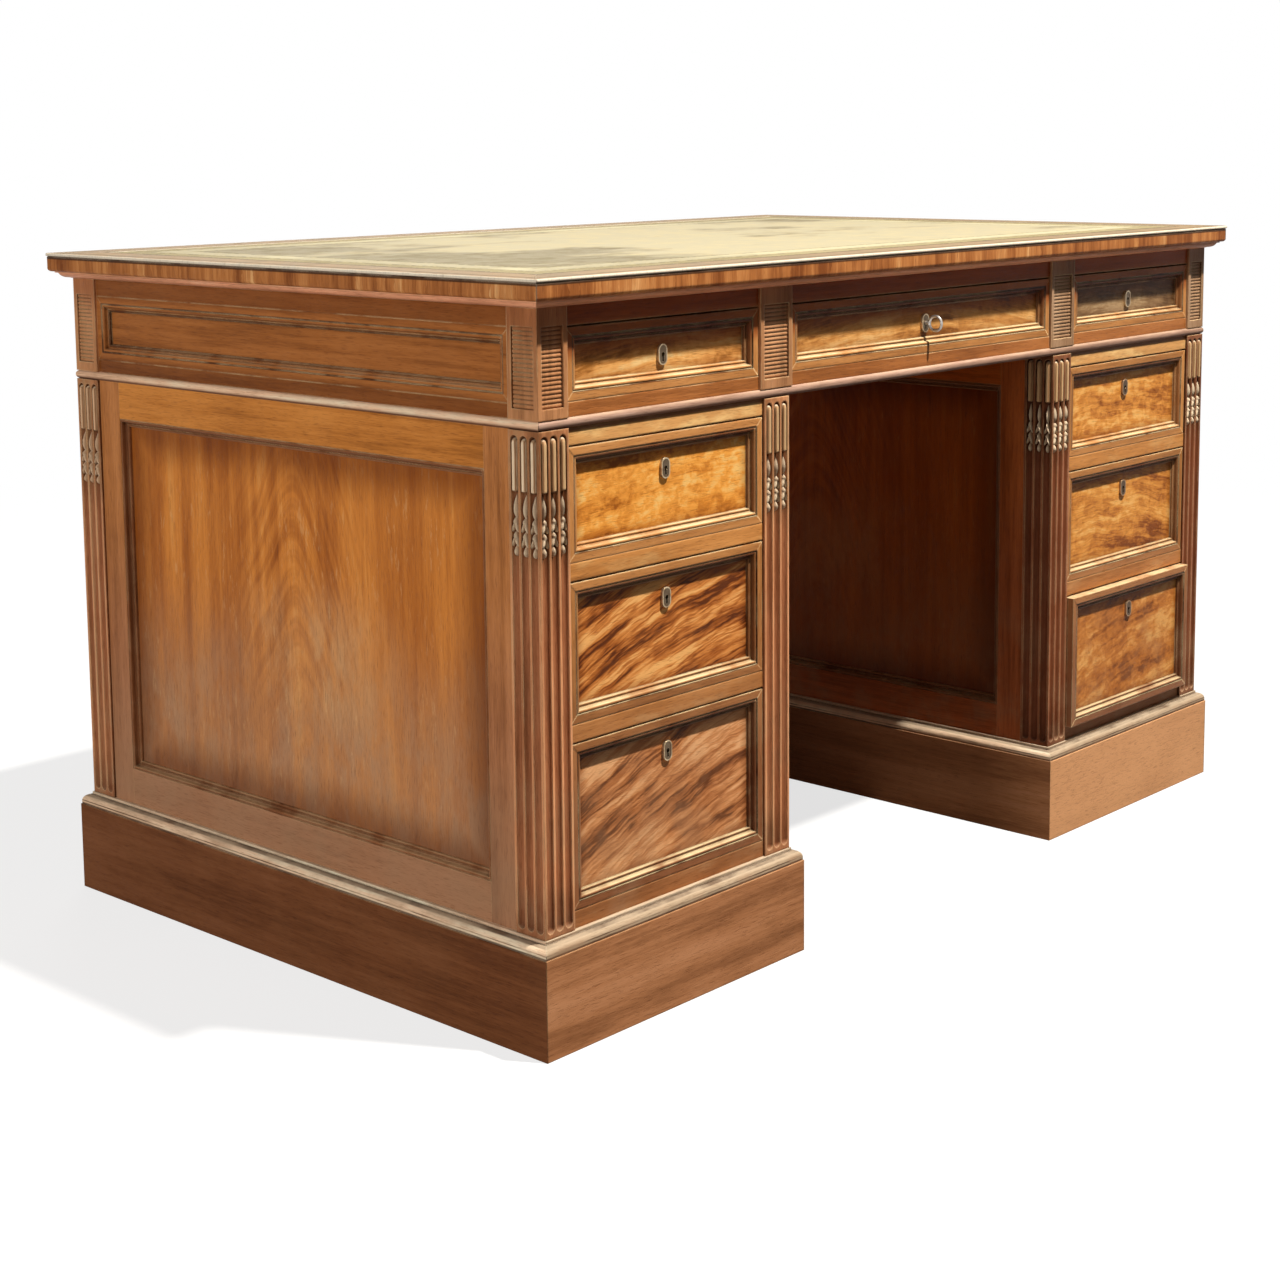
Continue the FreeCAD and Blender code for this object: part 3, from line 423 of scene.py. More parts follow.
def piece(name, shape, finish, body, crease=40):
    """Makes a finished piece of a shape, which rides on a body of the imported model."""
    bmesh.ops.recalc_face_normals(shape, faces=shape.faces)
    mesh = bpy.data.meshes.new(name)
    shape.to_mesh(mesh)
    shape.free()
    mesh.shade_smooth()
    mesh.set_sharp_from_angle(angle=math.radians(crease))
    mesh.materials.append(finish)
    made = bpy.data.objects.new(name, mesh)
    bpy.context.scene.collection.objects.link(made)
    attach(made, body)


for side in SIDES:
    cables, husks = bmesh.new(), bmesh.new()
    for foot, across, out in flutes(side):
        cable(cables, foot, across, out)
        for head, length in (BUD, DROP):
            leaf(husks, foot, across, out, head, length, 0.0, *ROUND_LEAF)
        for head, length in HUSKS:
            for lean in (-1, 1):
                leaf(husks, foot, across, out, head, length, lean * HUSK_SPREAD, *SPREAD_LEAF)
            leaf(husks, foot, across, out, head + MIDDLE_LIFT, length * MIDDLE_SHARE, 0.0, *MIDDLE_LEAF)
    piece(f"{side}_cables", cables, finish, "carcass")
    piece(f"{side}_husks", husks, finish, "carcass")


# Frames. Two stiles and two rails are tenoned together between the posts, at the end, the kneehole
# side and the back of each pedestal. The grain runs up the stiles and along the rails.
STILE_BROWN, RAIL_GOLD, RAIL_GOLD_FROM = (0.38, 0.148, 0.06), (0.53, 0.19, 0.037), (0.3, 0.5)
FRAME_DUST, FRAME_DUST_TO = (0.36, 0.2, 0.115), (0.13, 0.34)
FAR_STILE_FROM = (0.2, 0.33)
BACK_FROM = 0.35   # what lies further back belongs to the back of the pedestal
STILE_FROM_SIDE, STILE_FROM_BACK = 0.3095, 0.1135
KNEEHOLE_FACE, KNEEHOLE_FRAME_PAINTED_SHADE = 0.3, (1.22, 0.76, 0.52)


def upright_in_frame(place, side_edge, back_edge):
    """Whether a point is on an upright length of a frame, and the grain along each length."""
    x, y, z = place.parts()
    back = y > BACK_FROM
    upright = back * (abs(abs(x) - PEDESTAL_MIDDLE) > back_edge) + (1 - back) * (abs(y) > side_edge)
    return upright, upright.choose(back.choose(run("y"), run("x")), run("z"))


def on_kneehole_face(x, y):
    return (abs(x) < KNEEHOLE_FACE) * (1 - (y > BACK_FROM))


finish, place, facing = begin("frame_mahogany")
x, y, z = place.parts()
upright, way = upright_in_frame(place, STILE_FROM_SIDE, STILE_FROM_BACK)
figure, pores = boards(place, way, 4.0)
tone = figure * 0.8 + place.noise(7.0, 4.0, 0.6) * 0.7 + y.smooth(*FAR_STILE_FROM) * 0.2 - 0.25
golden = (1 - upright * 0.55) * z.smooth(*RAIL_GOLD_FROM)
colour = golden.tint(tone.ramp(shades(STILE_BROWN)), tone.ramp(shades(RAIL_GOLD)))
in_kneehole = on_kneehole_face(x, y)
# Painted shade in the kneehole, darker and redder.
colour = (in_kneehole * 0.85).shade(colour, KNEEHOLE_FRAME_PAINTED_SHADE)
dust_and_highlight_tone = (1.0 - z.smooth(*FRAME_DUST_TO)) * (1 - in_kneehole)
colour = (dust_and_highlight_tone * (place.noise(14.0, 4.0, 0.6) * 0.5 + 0.35)).tint(colour, FRAME_DUST)
old_polish(finish, place, facing, colour, figure, pores, shine=0.38)
dress(finish, *both("frames"))


# Panels. Wide boards with a flat-sawn figure: pointed arches one above another, with straight
# stripes beside them. Their lower half is dry and pale, where knees and brooms have rubbed it.
PANEL_BROWNS = ((0.0, (0.22, 0.052, 0.008)), (0.3, (0.46, 0.14, 0.024)), (0.62, (0.69, 0.245, 0.046)),
                (1.0, (0.88, 0.44, 0.13)))
PANEL_HALF_WIDTH, PANEL_BACK_HALF, PANEL_FOOT, PANEL_HEAD = 0.2995, 0.1035, 0.173, 0.577
ARCH_AT, ARCH_SPREAD, ARCH_HEIGHT = 0.003, 0.1, 0.43
ARCH_STEEP, ARCH_STEEPER = 26.0, 44.0
PANEL_RUBBED, PANEL_RUBBED_TO = (0.47, 0.262, 0.145), (0.22, 0.46)
BARE_SPOT, BARE_SPOT_ACROSS, BARE_SPOT_HEIGHT = (0.74, 0.42, 0.19), -0.03, 0.35
PANEL_SCUFF = (0.84, 0.54, 0.26)
PANEL_EDGE_SHADE, PANEL_EDGE_WIDTH = (0.24, 0.13, 0.08), 0.055
KNEEHOLE_PANEL_PAINTED_SHADE = (0.74, 0.46, 0.32)

finish, place, facing = begin("panel_mahogany")
x, y, z = place.parts()
back = y > BACK_FROM
from_middle = back * (abs(x) - PEDESTAL_MIDDLE) + (1 - back) * y
wander = place.drawn(1.0, 1.0, 0.35).noise(6.0, 3.0) - 0.5
across = from_middle - ARCH_AT + wander * 0.07
steep = (across > 0.0) * (ARCH_STEEP - ARCH_STEEPER) + ARCH_STEEPER
arch = z + steep * across * across / (1.0 + abs(across) / ARCH_SPREAD) + wander * 0.03
arch_way = place.add("CombineXYZ", sockets={0: arch, 1: across * 0.25, 2: x * 0.5})
rings = arch_way.noise(44.0, 3.0, 0.55).smooth(0.34, 0.66)
figure, pores = boards(place, run("z"), 5.0)
broad = place.drawn(1.0, 1.0, 0.13).noise(15.0, 3.0, 0.6).smooth(0.3, 0.7)
streaks = place.vector("ADD", (0.0, 0.0, 0.3)).drawn(1.0, 1.0, 0.05).noise(46.0, 3.0, 0.6)
near_arch = 1.0 - abs(across).smooth(0.04, 0.14) * 0.85
near_arch = near_arch * (1.0 - abs(z - ARCH_HEIGHT).smooth(0.06, 0.2) * 0.7)
tone = figure * 0.2 + broad * 0.26 + (rings - 0.5) * near_arch * 0.3 + (streaks - 0.5) * 0.9 + z * 0.3
colour = (tone + 0.11).ramp(PANEL_BROWNS)
rub = place.drawn(1.0, 1.0, 0.4).noise(24.0, 6.0, 0.7).smooth(0.4, 0.66)
worn_low = 1.0 - (z + wander * 0.14).smooth(*PANEL_RUBBED_TO)
colour = (worn_low * (rub * 0.45 + 0.44)).tint(colour, PANEL_RUBBED)
bare = 1.0 - abs(across - BARE_SPOT_ACROSS).smooth(0.03, 0.16)
bare = bare * (1.0 - abs(z - BARE_SPOT_HEIGHT).smooth(0.02, 0.1))
colour = (bare * (rub * 0.4 + 0.1)).tint(colour, BARE_SPOT)
scuffs = place.drawn(1.0, 1.0, 0.22).noise(150.0, 4.0, 0.7).smooth(0.56, 0.68)
colour = (scuffs * place.noise(8.0, 2.0).smooth(0.35, 0.6) * 0.24).tint(colour, PANEL_SCUFF)
half_span = back * (PANEL_BACK_HALF - PANEL_HALF_WIDTH) + PANEL_HALF_WIDTH
to_edge = (half_span - abs(from_middle)).least((z - PANEL_FOOT).least(PANEL_HEAD - z))
shaded = 1.0 - (to_edge + wander * 0.03).smooth(0.0, PANEL_EDGE_WIDTH)
colour = (shaded * 0.7).shade(colour, PANEL_EDGE_SHADE)
# Painted shade in the kneehole.
colour = (on_kneehole_face(x, y) * 0.9).shade(colour, KNEEHOLE_PANEL_PAINTED_SHADE)
old_polish(finish, place, facing, colour, figure, pores, shine=0.36, worn=0.3, grime_and_shade=0.9, dust_and_highlight=0.1,
           low_rub=0.2)
dress(finish, *both("panels"))


# Panel mouldings. Narrow mitred lengths, glued round each panel in the corner of its frame.
# Polish and dirt have built up in their hollows, and their dark brown is partly painted shade, so
# they read as a dark line with a thin pale edge, which is wear with a painted highlight.
PANEL_MOULDING_BROWN, PANEL_MOULDING_WIDTH = (0.22, 0.076, 0.027), 0.01
PANEL_MOULDING_EDGE, PANEL_MOULDING_DUST_AND_HIGHLIGHT = (0.78, 0.52, 0.28), (0.6, 0.38, 0.2)

finish, place, facing = begin("panel_moulding_mahogany")
upright, way = upright_in_frame(place, STILE_FROM_SIDE - PANEL_MOULDING_WIDTH,
                                STILE_FROM_BACK - PANEL_MOULDING_WIDTH)
figure, pores = boards(place, way, 6.0)
colour = (figure * 0.8 + place.noise(30.0, 3.0) * 0.3 - 0.05).ramp(shades(PANEL_MOULDING_BROWN))
old_polish(finish, place, facing, colour, figure, pores, shine=0.36, worn=0.65, grime_and_shade=1.0, dust_and_highlight=0.6,
           edge_wear_and_highlight=PANEL_MOULDING_EDGE, dust_and_highlight_tone=PANEL_MOULDING_DUST_AND_HIGHLIGHT)
dress(finish, *both("panel_mouldings"))


# Rails between the drawers. The front ones are polished and golden, from years of light, and painted
# light brightens the upper ones. Behind them, bare runners and guides carry the drawers, rubbed
# smooth by their sides.
FRONT_RAIL_BROWN, RAIL_FADE_AND_LIGHT, RAIL_PAINTED_LIGHT_FROM = (0.6, 0.25, 0.068), (0.86, 0.54, 0.22), (0.5, 0.6)
LOW_RAIL_SHADE, LOW_RAIL_TO = (0.5, 0.44, 0.62), (0.2, 0.5)
UNDER_BEAD_PAINTED_SHADOW, UNDER_BEAD_FROM = (0.16, 0.07, 0.05), (0.6235, 0.6275)
RUNNER_BROWNS = ((0.0, (0.16, 0.08, 0.035)), (1.0, (0.34, 0.19, 0.09)))
RAIL_BACK = -0.3265

finish, place, facing = begin("rail_mahogany")
x, y, z = place.parts()
bare_wood = y > RAIL_BACK
figure, pores = boards(place, bare_wood.choose(run("x"), run("y")), 7.0)
colour = (figure * 0.6 + place.noise(11.0, 3.0) * 0.45 - 0.02).ramp(shades(FRONT_RAIL_BROWN))
faded = place.drawn(0.3, 1.0, 1.0).noise(34.0, 4.0, 0.6).smooth(0.5, 0.66)
# Faded patches all along, with painted light laid over the upper rails.
colour = (faded * 0.3 + z.smooth(*RAIL_PAINTED_LIGHT_FROM) * (faded * 0.35 + 0.3)).tint(colour, RAIL_FADE_AND_LIGHT)
colour = ((1.0 - z.smooth(*LOW_RAIL_TO)) * 0.8).shade(colour, LOW_RAIL_SHADE)
# Painted shadow under the bead.
colour = (z.smooth(*UNDER_BEAD_FROM) * 0.85).shade(colour, UNDER_BEAD_PAINTED_SHADOW)
colour = bare_wood.tint(colour, figure.ramp(RUNNER_BROWNS))
old_polish(finish, place, facing, colour, figure, pores, shine=0.36, worn=0.5)
dress(finish, *both("rails"))


# Bead. A half-round frame lies on the pedestals and parts them from the frieze. Its nose stands a
# little proud, so it is rubbed to bare pale wood under a painted highlight, its lower half is painted
# in shade, and dark dirt lies in the quirks beside it.
BEAD_FRONT, BEAD_END = (0.37, 0.22, 0.155), (0.86, 0.54, 0.345)
BEAD_UNDER_PAINTED_SHADE, BEAD_DUST_AND_HIGHLIGHT = (0.17, 0.07, 0.036), (0.6, 0.44, 0.3)
BEAD_HALF_WIDTH, BEAD_HALF_DEPTH = 0.6565, 0.3905

finish, place, facing = begin("bead_mahogany")
at_end, way = round_a_frame(place, BEAD_HALF_WIDTH, BEAD_HALF_DEPTH)
figure, pores = boards(place, way, 8.0)
tone = figure * 0.7 + place.noise(35.0, 3.0) * 0.4 - 0.05
colour = at_end.tint(tone.ramp(shades(BEAD_FRONT)), tone.ramp(shades(BEAD_END)))
# Painted shade on the lower half of the bead.
under = 1.0 - facing.parts()[2].smooth(-0.75, 0.05)
colour = under.tint(colour, BEAD_UNDER_PAINTED_SHADE)
old_polish(finish, place, facing, colour, figure, pores, shine=0.4, worn=0.6, dust_and_highlight=0.5, dust_and_highlight_tone=BEAD_DUST_AND_HIGHLIGHT)
dress(finish, "frieze_bead")


# Frieze blocks. They stand over the pilasters, with a sunk panel on each outward face. A run of
# small half-round reeds, worked across the grain of a thin strip, is let into each panel.
BLOCK_BROWN, BLOCK_GREY, BLOCK_GREY_ALONG = (0.49, 0.22, 0.093), (0.33, 0.2, 0.112), (-0.5, 0.2)
BLOCK_EDGE, BLOCK_HEAD_PAINTED_SHADOW, BLOCK_HEAD_FROM = (0.84, 0.58, 0.31), (0.5, 0.3, 0.2), (0.7, 0.742)
REED_COUNT, REED_STEPS, REED_FOOT, REED_HEAD = 18, 6, 0.651, 0.731
REED_RISE, REED_BACK, REED_GROUND = 0.0017, 0.0042, 0.0005
CORNER_BLOCK = (0.6345, 0.015)   # from the middle of the desk, and half of its sunk panel
MIDDLE_BLOCK = (0.2895, 0.021)
END_BLOCK = (0.3685, 0.015)

finish, place, facing = begin("block_mahogany")
x, y, z = place.parts()
figure, pores = boards(place, run("z"), 9.0)
tone = figure * 0.65 + place.noise(14.0, 3.0) * 0.45 - 0.06
greyer = x.smooth(*BLOCK_GREY_ALONG) * 0.8
colour = greyer.tint(tone.ramp(shades(BLOCK_BROWN)), tone.ramp(shades(BLOCK_GREY)))
# Painted shadow of the top over the heads of the blocks.
colour = (z.smooth(*BLOCK_HEAD_FROM) * 0.6).shade(colour, BLOCK_HEAD_PAINTED_SHADOW)
old_polish(finish, place, facing, colour, figure, pores, shine=0.38, worn=0.95, edge_wear_and_highlight=BLOCK_EDGE)
dress(finish, "frieze_blocks")


def reeded_strip(shape, middle, across, out, half):
    """A strip with a row of half-round reeds, one above another."""
    pitch, ground = (REED_HEAD - REED_FOOT) / REED_COUNT, REED_GROUND - REED_BACK
    outline = [(-REED_BACK, REED_FOOT)]
    for reed in range(REED_COUNT):
        for step in range(REED_STEPS):
            turn = math.pi * step / REED_STEPS
            outline.append((ground + REED_RISE * math.sin(turn),
                            REED_FOOT + pitch * (reed + 0.5 - 0.5 * math.cos(turn))))
    outline += [(ground, REED_HEAD), (-REED_BACK, REED_HEAD)]
    near, far = [[shape.verts.new(middle + across * u + out * w + Vector((0, 0, up))) for w, up in outline]
                 for u in (-half, half)]
    for index in range(len(outline)):
        after = (index + 1) % len(outline)
        shape.faces.new((near[index], near[after], far[after], far[index]))
    shape.faces.new(near)
    shape.faces.new(far[::-1])


reeds = bmesh.new()
for one in (-1, 1):
    for other in (-1, 1):
        to_end, to_front = Vector((one, 0, 0)), Vector((0, other, 0))
        for away, half in (CORNER_BLOCK, MIDDLE_BLOCK):
            middle = Vector((one * away, other * FACE_Y, 0))
            reeded_strip(reeds, middle, Vector((other, 0, 0)), to_front, half)
        away, half = END_BLOCK
        middle = Vector((one * FACE_X, other * away, 0))
        reeded_strip(reeds, middle, Vector((0, one, 0)), to_end, half)
piece("frieze_reeds", reeds, finish, "carcass", crease=50)


# Frieze rails, false fronts and runners. Rails close the frieze over and under the drawers. The
# ends and the back have fixed fronts with a planted moulding, as the drawers have, and no lock.
FRIEZE_BROWN, FRIEZE_END = (0.41, 0.145, 0.04), (0.36, 0.122, 0.03)
FRIEZE_EDGE, FRIEZE_DUST_AND_HIGHLIGHT, FRIEZE_QUIRK = (0.8, 0.55, 0.29), (0.66, 0.44, 0.24), (0.14, 0.07, 0.05)
END_FRIEZE_FROM, FRIEZE_MIDDLE = 0.628, 0.6925
END_RAIL_PAINTED_SHADE, END_RAIL_FROM = (0.35, 0.26, 0.22), (0.03, 0.04)
FALSE_HALF_WIDTH, FALSE_HALF_HEIGHT = 0.3475, 0.0375
FALSE_QUIRKS = ((0.009, 0.0014), (0.0172, 0.002))   # from the edge of a false front, and half width
OVERHANG_PAINTED_SHADOW, OVERHANG_SHADOW_RAIL_FROM = (0.52, 0.24, 0.13), (0.722, 0.738)   # painted shadow of the top's overhang, dark red

finish, place, facing = begin("frieze_mahogany")
x, y, z = place.parts()
at_end = abs(x) > END_FRIEZE_FROM
from_middle = abs(z - FRIEZE_MIDDLE)
figure, pores = boards(place, at_end.choose(run("x"), run("y")), 10.0)
tone = figure * 0.7 + place.noise(9.0, 3.0) * 0.45 - 0.1
colour = at_end.tint(tone.ramp(shades(FRIEZE_BROWN)), tone.ramp(shades(FRIEZE_END)))
# Painted shade on the end rails, above and below the false fronts.
colour = (from_middle.smooth(*END_RAIL_FROM) * at_end * 0.62).shade(colour, END_RAIL_PAINTED_SHADE)
# Painted shadow under the overhang of the top.
colour = (z.smooth(*OVERHANG_SHADOW_RAIL_FROM) * (1 - at_end) * 0.85).shade(colour, OVERHANG_PAINTED_SHADOW)
in_from_edge = (FALSE_HALF_HEIGHT - from_middle).least(FALSE_HALF_WIDTH - abs(y))
for away, half in FALSE_QUIRKS:
    quirk = (1.0 - abs(in_from_edge - away).smooth(half * 0.4, half)) * at_end
    colour = (quirk * 0.85).shade(colour, FRIEZE_QUIRK)
old_polish(finish, place, facing, colour, figure, pores, shine=0.37, worn=0.75, dust_and_highlight=0.6,
           edge_wear_and_highlight=FRIEZE_EDGE, dust_and_highlight_tone=FRIEZE_DUST_AND_HIGHLIGHT)
dress(finish, "frieze_rails", "frieze_fields")

finish, place, facing = begin("bare_runner_wood")
figure, pores = boards(place, run("y"), 11.0)
colour = (figure * 0.8 + place.noise(8.0, 3.0) * 0.3 - 0.05).ramp(RUNNER_BROWNS)
old_polish(finish, place, facing, colour, figure, pores, shine=0.55, worn=0.3, dust_and_highlight=0.3)
dress(finish, "frieze_runners")


# Top. A cove moulding is glued under a border of cross-cut veneer, whose short grain shows as a row
# of patches on the edge. A plain core board lies between the border's sides and carries the leather.
COVE_BROWN = (0.88, 0.395, 0.22)
BAND_BROWNS = ((0.0, (0.22, 0.064, 0.016)), (0.45, (0.43, 0.155, 0.044)), (0.75, (0.56, 0.235, 0.075)),
               (1.0, (0.8, 0.45, 0.19)))
BAND_FADED, BAND_EDGE, LEAVES_TO_THE_METRE = (0.185, 0.162, 0.105), (0.56, 0.46, 0.34), 85.0
TOP_HALF_WIDTH, TOP_HALF_DEPTH = 0.6775, 0.4115
LIP_PAINTED_HIGHLIGHT, LIP_FROM = (0.86, 0.78, 0.63), (0.7758, 0.7768)
LIP_QUIRK, LIP_QUIRK_FROM = (0.045, 0.02, 0.01), (0.7722, 0.7732)
SEAM_DARK, INNER_SEAM_FROM = (0.055, 0.045, 0.024), (0.044, 0.047)   # glue lines, in from the edge
OUTER_SEAM = (0.008, 0.01, 0.0125, 0.015)

finish, place, facing = begin("cove_mahogany")
at_end, way = round_a_frame(place, TOP_HALF_WIDTH, TOP_HALF_DEPTH)
figure, pores = boards(place, way, 12.0)
colour = (figure * 0.7 + place.noise(12.0, 3.0) * 0.4 - 0.05).ramp(shades(COVE_BROWN))
old_polish(finish, place, facing, colour, figure, pores, shine=0.36, worn=0.6, grime_and_shade=0.45, dust_and_highlight=0.2)
dress(finish, "top_cove_moulding")

finish, place, facing = begin("cross_banding")
x, y, z = place.parts()
at_end = round_a_frame(place, TOP_HALF_WIDTH, TOP_HALF_DEPTH)[0]
way = at_end.choose((1.0, GRAIN_DRAW, GRAIN_DRAW), (GRAIN_DRAW, 1.0, GRAIN_DRAW))
along = at_end * y + (1 - at_end) * x + place.noise(55.0, 3.0) * 0.016
leaves = place.add("TexVoronoi", {"voronoi_dimensions": "1D"},
                   {"W": along, "Scale": LEAVES_TO_THE_METRE}, 1)
figure, pores = boards(place, way, 13.0)
tone = figure * 0.8 + leaves.parts()[0] * 0.34 + place.noise(16.0, 2.0) * 0.6 - 0.42
flat = facing.parts()[2].smooth(0.6, 0.95)
colour = (flat * 0.82).tint(tone.ramp(BAND_BROWNS), BAND_FADED)
# Painted highlight along the lip of the border.
colour = (z.smooth(*LIP_FROM) * (1.0 - flat) * 0.9).tint(colour, LIP_PAINTED_HIGHLIGHT)
colour = (z.line(*LIP_QUIRK_FROM, *LIP_FROM) * 0.9).tint(colour, LIP_QUIRK)
inset = (TOP_HALF_WIDTH - abs(x)).least(TOP_HALF_DEPTH - abs(y))
seam = (inset.smooth(*INNER_SEAM_FROM) + inset.line(*OUTER_SEAM)) * flat
colour = (seam * 0.85).tint(colour, SEAM_DARK)
old_polish(finish, place, facing, colour, figure, pores, shine=0.46, worn=0.85, dust_and_highlight=0.15,
           edge_wear_and_highlight=BAND_EDGE, dull_top=0.34)
dress(finish, "top_border")

finish, place, facing = begin("core_board_wood")
figure, pores = boards(place, run("x"), 14.0)
old_polish(finish, place, facing, figure.ramp(RUNNER_BROWNS), figure, pores, shine=0.6)
dress(finish, "top_panel")


# Writing leather. One skin is pasted on the core inside the border. Its olive dye has faded to straw
# in the middle, and a roller has pressed a band with fine lines round it, once gilded.
LEATHER_HALF_WIDTH, LEATHER_HALF_DEPTH = 0.6255, 0.3595
STRAW, WARM_STRAW, OLD_OLIVE = (0.372, 0.328, 0.218), (0.52, 0.41, 0.22), (0.14, 0.112, 0.06)
PALE_BAND, RIM_OLIVE = (0.45, 0.4, 0.26), (0.25, 0.2, 0.095)
BAND_FROM, BAND_TO = (0.031, 0.036), (0.069, 0.074)   # in from the edge
TOOLED = ((0.005, 0.003), (0.033, 0.0032), (0.0395, 0.001), (0.071, 0.003))   # and half width
PRESSED_DARK, OLD_GILT = (0.085, 0.07, 0.034), (0.74, 0.6, 0.28)
STAINED_LEFT_TO, STAINED_RIGHT_FROM, STAINED_BACK_FROM = (-0.55, -0.1), (-0.1, 0.55), (0.02, 0.34)
GRAIN_TO_THE_METRE, LEATHER_RELIEF = 620.0, 0.0008

finish, place, facing = begin("tooled_leather")
x, y, z = place.parts()
inset = (LEATHER_HALF_WIDTH - abs(x)).least(LEATHER_HALF_DEPTH - abs(y))
worn = place.drawn(1.0, 1.6, 1.0).noise(3.6, 5.0, 0.62)
at_left = 1.0 - x.smooth(*STAINED_LEFT_TO)
far_right = x.smooth(*STAINED_RIGHT_FROM) * y.smooth(*STAINED_BACK_FROM)
stain = (worn + at_left * 0.18 + far_right * 0.2 - 0.03).smooth(0.49, 0.64)
fine_stain = place.noise(34.0, 4.0, 0.65).smooth(0.4, 0.68)
colour = (fine_stain * 0.3).tint(STRAW, WARM_STRAW)
colour = (stain * (fine_stain * 0.25 + 0.65)).tint(colour, OLD_OLIVE)
colour = (inset.line(*BAND_FROM, *BAND_TO) * (0.85 - stain * 0.35)).tint(colour, PALE_BAND)
colour = ((1.0 - inset.smooth(*BAND_FROM)) * (0.8 - fine_stain * 0.3)).tint(colour, RIM_OLIVE)
pressed = 0.0
for away, half in TOOLED:
    pressed = pressed + (1.0 - abs(inset - away).smooth(half * 0.6, half))
gilt = place.noise(160.0, 3.0).smooth(0.4, 0.6) * pressed
colour = (pressed * 0.8).tint(colour, PRESSED_DARK)
colour = (gilt * 0.35).tint(colour, OLD_GILT)
cells = place.add("TexVoronoi", {"feature": "DISTANCE_TO_EDGE"},
                  {"Vector": place, "Scale": GRAIN_TO_THE_METRE})
creases = place.noise(120.0, 4.0, 0.7)
height = cells.smooth(0.0, 0.25) * 0.4 + creases * 0.8 - pressed * 0.9
normal = place.add("Bump", sockets={"Strength": 0.3, "Distance": LEATHER_RELIEF, "Height": height})
rough = 0.82 + fine_stain * 0.1 - stain * 0.1 + (creases - 0.5) * 0.2
close(finish, place, colour, rough, normal, {"Specular IOR Level": 0.04})
dress(finish, "writing_leather")


# Drawer fronts. Each is a board faced with its own sheet of figured veneer, with four mitred lengths
# of moulding planted round it. The veneers were cut from different logs, so no two look alike.
PLANTED_WIDTH, PLANTED_FLAT, PLANTED_QUIRK_HALF = 0.018, 0.009, (0.0006, 0.0014)
PLANTED_BROWN, PLANTED_EDGE, PLANTED_DUST_AND_HIGHLIGHT = (0.5, 0.212, 0.064), (0.8, 0.6, 0.33), (0.72, 0.58, 0.33)
LOW_FRONT_SHADE, LOW_FRONT_TO = (0.46, 0.38, 0.54), (0.16, 0.52)
UNDER_LIP_PAINTED_SHADE, PLANTED_QUIRK = (0.2, 0.09, 0.07), (0.12, 0.05, 0.03)
VENEER_EDGE_SHADE, VENEER_EDGE_WIDTH = (0.3, 0.17, 0.1), 0.014
OVERHANG_SHADOW_FRONT_FROM = (0.689, 0.706)
EVEN, FLAME = (0.0, 0.35, 0.7, 1.0), (0.0, 0.3, 0.65, 1.0)   # where the browns lie, from dark to pale
GOLDEN = ((0.34, 0.095, 0.01), (0.68, 0.245, 0.034), (0.87, 0.37, 0.066), (0.9, 0.52, 0.16))
AMBER = ((0.24, 0.062, 0.008), (0.54, 0.19, 0.032), (0.75, 0.31, 0.06), (0.88, 0.47, 0.14))
HONEY = ((0.34, 0.125, 0.022), (0.7, 0.31, 0.082), (0.86, 0.45, 0.145), (0.9, 0.59, 0.25))
DULL_HONEY = ((0.26, 0.092, 0.016), (0.56, 0.24, 0.06), (0.74, 0.37, 0.112), (0.86, 0.52, 0.205))
CLOUDY = ((0.22, 0.06, 0.009), (0.46, 0.145, 0.024), (0.62, 0.23, 0.046), (0.78, 0.38, 0.11))
FLAMED = ((0.12, 0.028, 0.005), (0.38, 0.105, 0.018), (0.68, 0.25, 0.058), (0.88, 0.45, 0.15))
# Kept dark and grey, partly as painted shade on the right frieze drawer.
SHADED_GREY_HONEY = ((0.11, 0.05, 0.017), (0.22, 0.12, 0.051), (0.32, 0.19, 0.088), (0.48, 0.32, 0.168))
DULL_FLAMED = ((0.15, 0.046, 0.014), (0.42, 0.145, 0.046), (0.65, 0.27, 0.1), (0.84, 0.44, 0.205))
# browns and their marks, rise of the stripes in degrees, how far they wander, stripes to the metre,
# mottle and dark lines
VENEERS = {
    "left_top": (GOLDEN, EVEN, 4.0, 0.024, 34.0, 0.6, 0.1),
    "left_middle": (FLAMED, FLAME, 17.0, 0.016, 50.0, 0.1, 0.42),
    "left_bottom": (DULL_FLAMED, FLAME, 20.0, 0.018, 46.0, 0.15, 0.3),
    "right_top": (AMBER, EVEN, -3.0, 0.02, 40.0, 0.5, 0.25),
    "right_middle": (AMBER, EVEN, -6.0, 0.022, 42.0, 0.4, 0.26),
    "right_bottom": (CLOUDY, EVEN, 10.0, 0.04, 24.0, 0.5, 0.2),
    "frieze_left": (HONEY, EVEN, 2.0, 0.012, 60.0, 0.35, 0.15),
    "frieze_centre": (DULL_HONEY, EVEN, -1.5, 0.012, 60.0, 0.35, 0.15),
    "frieze_right": (SHADED_GREY_HONEY, EVEN, -2.0, 0.012, 60.0, 0.35, 0.15),
}


